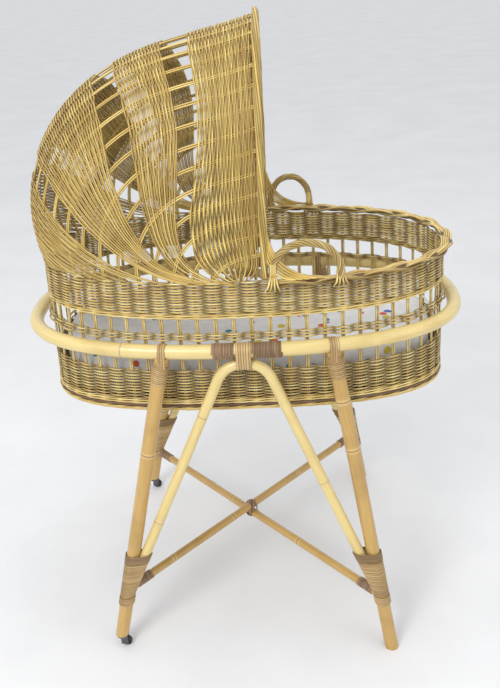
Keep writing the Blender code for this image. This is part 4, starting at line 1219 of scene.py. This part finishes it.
def bind_leg(end, side_name, seed):
    """The five bindings at one leg."""
    side, key = SIDES[side_name], f"{end}_{side_name}"
    top = hoop_at(LEG_TOP_X[end], side)
    down = unit(leg_at(end, side, 0) - top)

    canes = Canes(seed)
    line = straight(top + 0.0185 * down, top + 0.0618 * down, 12)
    winding(canes, round_form(line, LEG_RADIUS + 0.0006, Y_AXIS), 11, 0.00195, 0.0013)
    canes.build(f"winding_leg_{key}", LIGHT_CANE, "stand", [f"leg_wrap_{key}"])

    canes = Canes(seed + 1)
    strap(canes, top, side, down)
    canes.build(f"strap_leg_{key}", LIGHT_CANE, "stand", [f"leg_strap_{key}"])

    canes = Canes(seed + 2)
    low_x, high_x = low_of(f"splice_wrap_{key}")[0], high_of(f"splice_wrap_{key}")[0]
    line = np.array([hoop_at(x, side) for x in np.linspace(low_x + 0.001, high_x - 0.001, 16)])
    turns = round((high_x - low_x) / 0.0028)
    winding(canes, round_form(line, HOOP_RADIUS + 0.0005, Z_AXIS), turns, 0.00140, 0.0012)
    canes.build(f"winding_hoop_{key}", DARK_CANE, "stand", [f"splice_wrap_{key}"])

    canes = Canes(seed + 3)
    wind_joint(canes, end, side)
    canes.build(f"winding_joint_{key}", LIGHT_CANE, "stand", [f"joint_wrap_{key}"])

    canes = Canes(seed + 4)
    on_upper = (end == "head") == (side < 0)
    ends = stretcher_line(1 if on_upper else -1)
    start, finish = ends if end == "head" else ends[::-1]
    along = unit(finish - start)
    line = straight(start + 0.020 * along, start + 0.0595 * along, 8)
    winding(canes, round_form(line, STRETCHER_RADIUS + 0.0005, Z_AXIS), 13, 0.0015, 0.0011)
    node = f"stretcher_wrap_{key}"
    canes.build(f"winding_stretcher_{key}", DARK_CANE, "stand", [node])


def make_bindings():
    for end, end_seed in zip(ENDS, (80, 85)):
        for i, side_name in enumerate(SIDES):
            bind_leg(end, side_name, end_seed + 10 * i)
    for seed, (name, side) in enumerate(SIDES.items(), 120):
        canes = Canes(seed)
        arch_tie(canes, side)
        canes.build(f"tie_arch_{name}", LIGHT_CANE, "stand", [f"arch_strap_{name}"])
    canes = Canes(125)
    lashing(canes)
    canes.build("lashing_canes", DARK_CANE, "stand", ["stretcher_lashing"])


FLAT_CANE = (0.0023, 0.0009)  # half its width and half its thickness


def strap(canes, top, side, down):
    """Three flat canes over the hoop and down both faces of the leg."""
    along = unit(hoop_at(top[0] + 0.01, side) - hoop_at(top[0] - 0.01, side))
    down = unit(down - np.dot(down, along) * along)
    outward = np.cross(along, down)
    turn = np.linspace(0, pi, 25)[:, None]
    over = (HOOP_RADIUS + 0.0011) * (np.cos(turn) * outward - np.sin(turn) * down)
    leg_drop = 0.0285 * down
    path = np.concatenate([[over[0] + leg_drop], over, [over[-1] + leg_drop]])
    facing = unit(np.concatenate([[outward], over, [-outward]]))
    for strand in (-1, 0, 1):
        points = top + path + strand * 0.0044 * along
        canes.add(points, facing, *FLAT_CANE, tint=0.45 + 0.2 * strand, light=0.9)


def arch_tie(canes, side):
    """Flat canes side by side round the hoop and the top of the arch."""
    turn = 2 * pi * np.arange(48) / 48
    way = np.stack([np.zeros(48), np.cos(turn), np.sin(turn)], -1)
    for strand in range(6):
        x = ARCH_MIDDLE_X + (strand - 2.5) * 2 * FLAT_CANE[0]
        drop = ARCH_TOP_DROP + 0.25 * (x - ARCH_MIDDLE_X) ** 2 / ARCH_SHOULDER
        arch = hoop_at(ARCH_MIDDLE_X, side) - drop * Z_AXIS
        points = round_both(way, hoop_at(x, side), HOOP_RADIUS + 0.0012, arch, ARCH_RADIUS + 0.0014)
        points[:, 0] = x
        canes.add(points, way, *FLAT_CANE, closed=True, tint=canes.random.uniform(0.4, 1.0))


def lashing(canes):
    """Cane crossed over the two stretchers where they meet."""
    upper, lower = stretcher_line(1), stretcher_line(-1)
    upper_run, lower_run = upper[1] - upper[0], lower[1] - lower[0]
    ways = np.stack([upper_run[:2], -lower_run[:2]], -1)
    crossing = np.linalg.solve(ways, (lower[0] - upper[0])[:2])
    middle = upper[0] + crossing[0] * upper_run
    middle[2] = STRETCHER_HEIGHT
    diagonals = (unit(unit(upper_run) + unit(lower_run)), unit(unit(upper_run) - unit(lower_run)))
    turn = 2 * pi * np.arange(40) / 40
    wide = 0.0125 * np.sign(np.cos(turn)) * np.abs(np.cos(turn)) ** 0.8
    high = np.sign(np.sin(turn)) * np.abs(np.sin(turn)) ** 0.6
    for layer, direction in enumerate(diagonals):
        tall = STRETCHER_LIFT + STRETCHER_RADIUS + 0.0010 + 0.0009 * layer
        ring = middle + wide[:, None] * direction + tall * high[:, None] * Z_AXIS
        for strand in range(5):
            points = ring + (strand - 2) * 0.0023 * unit(np.cross(direction, Z_AXIS))
            canes.add(points, unit(points - middle), 0.0012, 0.0010, closed=True)


# ---- Casters, board, mattress ------------------------------------------------------------


def ring_quads(rings, count, closed):
    """The faces between rings of the same number of points."""
    quads = []
    for i in range(rings if closed else rings - 1):
        for k in range(count):
            after, beside = (i + 1) % rings * count, (k + 1) % count
            quads.append((i * count + k, i * count + beside, after + beside, after + k))
    return quads


def lathe(profile, centre, axis, start, count=40):
    """A closed mesh turned from a closed profile of (distance along the axis, radius)."""
    turn = 2 * pi * np.arange(count) / count
    way = np.cos(turn)[:, None] * start + np.sin(turn)[:, None] * np.cross(axis, start)
    points = np.concatenate([centre + along * axis + radius * way for along, radius in profile])
    mesh = bpy.data.meshes.new("turned")
    mesh.from_pydata(points.tolist(), [], ring_quads(len(profile), count, True))
    shape = bmesh.new()
    shape.from_mesh(mesh)
    bmesh.ops.recalc_face_normals(shape, faces=shape.faces)
    shape.to_mesh(mesh)
    shape.free()
    mesh.shade_smooth()
    mesh.set_sharp_from_angle(angle=radians(35))
    return mesh


WHEEL_BORE = 0.0019
# Half of the wheel's section: the hub, in the sizes of the bore, and the tyre, in shares of the
# half width and of the radius.
HUB = ((0.96, 0.0), (0.96, 0.0016), (0.60, 0.0020))
TYRE = ((0.60, 0.66), (0.92, 0.72), (1.0, 0.80), (0.90, 0.93), (0.55, 1.0), (0.08, 1.0))
GROOVE = 0.975


def make_casters():
    for name in SIDES:
        wheel = f"caster_wheel_{name}"
        low, high = low_of(wheel), high_of(wheel)
        radius, half = (high[2] - low[2]) / 2, (high[1] - low[1]) / 2
        section = [(share * half, WHEEL_BORE + wall) for share, wall in HUB]
        section += [(share * half, size * radius) for share, size in TYRE]
        profile = [(-along, size) for along, size in section] + [(0.0, radius * GROOVE)]
        profile += section[::-1]
        mesh = lathe(profile, middle_of(wheel), Y_AXIS, X_AXIS)
        place(f"tyre_{name}", mesh, RUBBER, f"wheel_{name}", [wheel])
    for node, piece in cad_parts.items():
        if node.startswith(("caster_plate", "caster_fork", "caster_axle")):
            for slot in piece.material_slots:
                slot.material = STEEL


def disc(name, outlines, looks, body, replaces):
    """A closed mesh through rings of the same number of points, capped at both ends."""
    count = len(outlines[0])
    points = np.concatenate(outlines)
    caps = [tuple(range(count))[::-1], tuple(range(len(points) - count, len(points)))]
    mesh = bpy.data.meshes.new(name)
    mesh.from_pydata(points.tolist(), [], caps + ring_quads(len(outlines), count, False))
    mesh.shade_smooth()
    mesh.set_sharp_from_angle(angle=radians(50))
    return place(name, mesh, looks, body, replaces)


BOARD_REACH = 0.0048  # past the wall's middle
BOARD_EDGE = 0.0012


def make_board():
    stake = np.linspace(0, STAKES, 361)[:-1]
    bottom, top = BOARD
    steps = ((bottom, BOARD_EDGE), (bottom + BOARD_EDGE, 0), (top - BOARD_EDGE, 0), (top, BOARD_EDGE))
    rings = [on_wall(stake, height, BOARD_REACH - inset)[0] for height, inset in steps]
    disc("board_stained", rings, BOARD_LOOKS, "basket", ["base_board"])


MATTRESS_CAP = 0.0055  # the furthest that the cover swells
MATTRESS_EDGE = 0.020
MATTRESS_INSET = 0.0145  # from the wall's middle
PIPING_INSET = 0.0125


def mattress_ring(height, inset, count):
    """An outline at a height, set in from the wall as it is at the mattress's middle."""
    middle = np.full(count, middle_of("mattress")[2])
    points, normals = on_wall(np.linspace(0, STAKES, count + 1)[:-1], middle, -inset)
    points[:, 2] = height
    return points, normals


def make_mattress():
    bottom, top = low_of("mattress")[2], high_of("mattress")[2]
    steps = []
    for turn in np.linspace(0, pi / 2, 6):
        rise, inset = MATTRESS_EDGE * (1 - cos(turn)), MATTRESS_EDGE * (1 - sin(turn))
        steps.append((bottom + 0.003 + rise, MATTRESS_INSET + inset))
    steps += [(bottom + top - height, inset) for height, inset in steps[::-1]]
    rings = [mattress_ring(height, inset, 160)[0] for height, inset in steps]
    piece = disc("mattress_padded", rings, COTTON, "mattress", ["mattress"])
    piece.parent = None
    inflate(piece)
    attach(piece, "mattress")
    piping = Canes(131)
    for height in (bottom + 0.0135, top - 0.0115):
        points, normals = mattress_ring(height, PIPING_INSET, 420)
        piping.add(points, normals, 0.0021, closed=True, sides=8, tint=0.5, crease_shade=0)
    piping.build("mattress_piping", COTTON, "mattress")


def inflate(piece):
    """Lets the cover swell over its filling, and caps how far it moves."""
    bpy.context.view_layer.objects.active = piece
    remesh = piece.modifiers.new("Remesh", "REMESH")
    remesh.mode = "VOXEL"
    remesh.voxel_size = 0.0065
    bpy.ops.object.modifier_apply(modifier=remesh.name)
    rest = np.array([v.co for v in piece.data.vertices])
    cloth = piece.modifiers.new("Cloth", "CLOTH")
    cloth.settings.use_pressure = True
    cloth.settings.uniform_pressure_force = 4.0
    cloth.settings.effector_weights.gravity = 0
    cloth.settings.quality = 5
    cloth.point_cache.frame_start = 1
    cloth.point_cache.frame_end = 20
    for step in range(1, 21):
        bpy.context.scene.frame_set(step)
    shaped = piece.evaluated_get(bpy.context.evaluated_depsgraph_get())
    moved = np.array([v.co for v in shaped.data.vertices]) - rest
    piece.modifiers.remove(cloth)
    bpy.context.scene.frame_set(1)
    length = np.linalg.norm(moved, axis=1, keepdims=True)
    moved *= np.minimum(1, MATTRESS_CAP / np.maximum(length, 1e-9))
    piece.data.vertices.foreach_set("co", (rest + moved).astype(np.float32).ravel())
    smooth = piece.modifiers.new("Smooth", "CORRECTIVE_SMOOTH")
    smooth.use_only_smooth = True
    smooth.iterations = 4
    bpy.ops.object.modifier_apply(modifier=smooth.name)
    subdivide = piece.modifiers.new("Subdivide", "SUBSURF")
    subdivide.levels = subdivide.render_levels = 1
    bpy.ops.object.modifier_apply(modifier=subdivide.name)
    piece.data.shade_smooth()


# ---- Floor, light and camera -------------------------------------------------------------


def stage_material(name, colour, other, scale, roughness):
    n = Nodes(name)
    where = n.node("TexCoord").outputs["Object"]
    cloud = n.noise(where, scale, 5.0, 0.6)
    return n.finish(n.mix(n.remap(cloud, 0.3, 0.7), colour, other), roughness, cloud, 0.002, 0.2)


def make_stage():
    half = 30.0
    corners = [(-half, -half, 0), (half, -half, 0), (half, half, 0), (-half, half, 0)]
    mesh = bpy.data.meshes.new("stage_floor")
    mesh.from_pydata(corners, [], [(0, 1, 2, 3)])
    mesh.materials.append(stage_material("pale_floor", (0.74,) * 3, (0.80,) * 3, 3.0, 0.6))
    add_to_scene("stage_floor", mesh)


def add_light(name, location, target, size, power):
    data = bpy.data.lights.new(name, "AREA")
    data.shape = "DISK"
    data.size = size
    data.energy = power
    light = add_to_scene(name, data)
    light.location = location
    aim = Vector(target) - Vector(location)
    light.rotation_euler = aim.to_track_quat("-Z", "Y").to_euler()


def make_lights():
    add_light("key", (-1.3, -2.3, 2.7), (0, 0, 0.7), 1.3, 50)
    add_light("fill", (2.4, -1.8, 1.8), (0, 0, 0.6), 2.0, 10)
    add_light("top", (0.2, 0.1, 3.0), (0, 0, 0.6), 2.0, 14)
    world = bpy.data.worlds.new("studio")
    world.use_nodes = True
    background = world.node_tree.nodes["Background"]
    background.inputs["Color"].default_value = (0.95, 0.97, 1.0, 1)
    background.inputs["Strength"].default_value = 0.90
    bpy.context.scene.world = world
    bpy.context.scene.view_settings.view_transform = "Standard"


CAMERA_PLACE = (0.0689, -1.5507, 1.3108)
CAMERA_YAW, CAMERA_PITCH, CAMERA_ROLL = -0.040, -0.4559, -0.0554
CAMERA_LENS = 43.42


def make_camera():
    data = bpy.data.cameras.new("camera")
    data.lens = CAMERA_LENS
    data.sensor_width = 36
    data.clip_end = 100
    camera = add_to_scene("camera", data)
    flat = cos(CAMERA_PITCH)
    forward = Vector((sin(CAMERA_YAW) * flat, cos(CAMERA_YAW) * flat, sin(CAMERA_PITCH)))
    right = Vector((cos(CAMERA_YAW), -sin(CAMERA_YAW), 0))
    up = right.cross(forward)
    rolled_right = cos(CAMERA_ROLL) * right + sin(CAMERA_ROLL) * up
    rolled_up = -sin(CAMERA_ROLL) * right + cos(CAMERA_ROLL) * up
    turn = Matrix((rolled_right, rolled_up, -forward)).transposed()
    camera.matrix_world = Matrix.Translation(CAMERA_PLACE) @ turn.to_4x4()
    bpy.context.scene.camera = camera


make_camera()
make_wall_stakes()
make_lower_band()
make_wale_band()
make_upper_band()
make_foot()
make_rim()
for handle in SIDES:
    make_handle(handle)
for seed, (band, (low_row, high_row, tails, rows)) in enumerate(HOOD_BANDS.items(), 41):
    make_hood_band(band, low_row, high_row, tails, rows, seed)
make_hood_stakes()
make_hood_edge()
make_poles()
make_bindings()
make_casters()
make_board()
make_mattress()
make_stage()
make_lights()

bpy.context.view_layer.update()
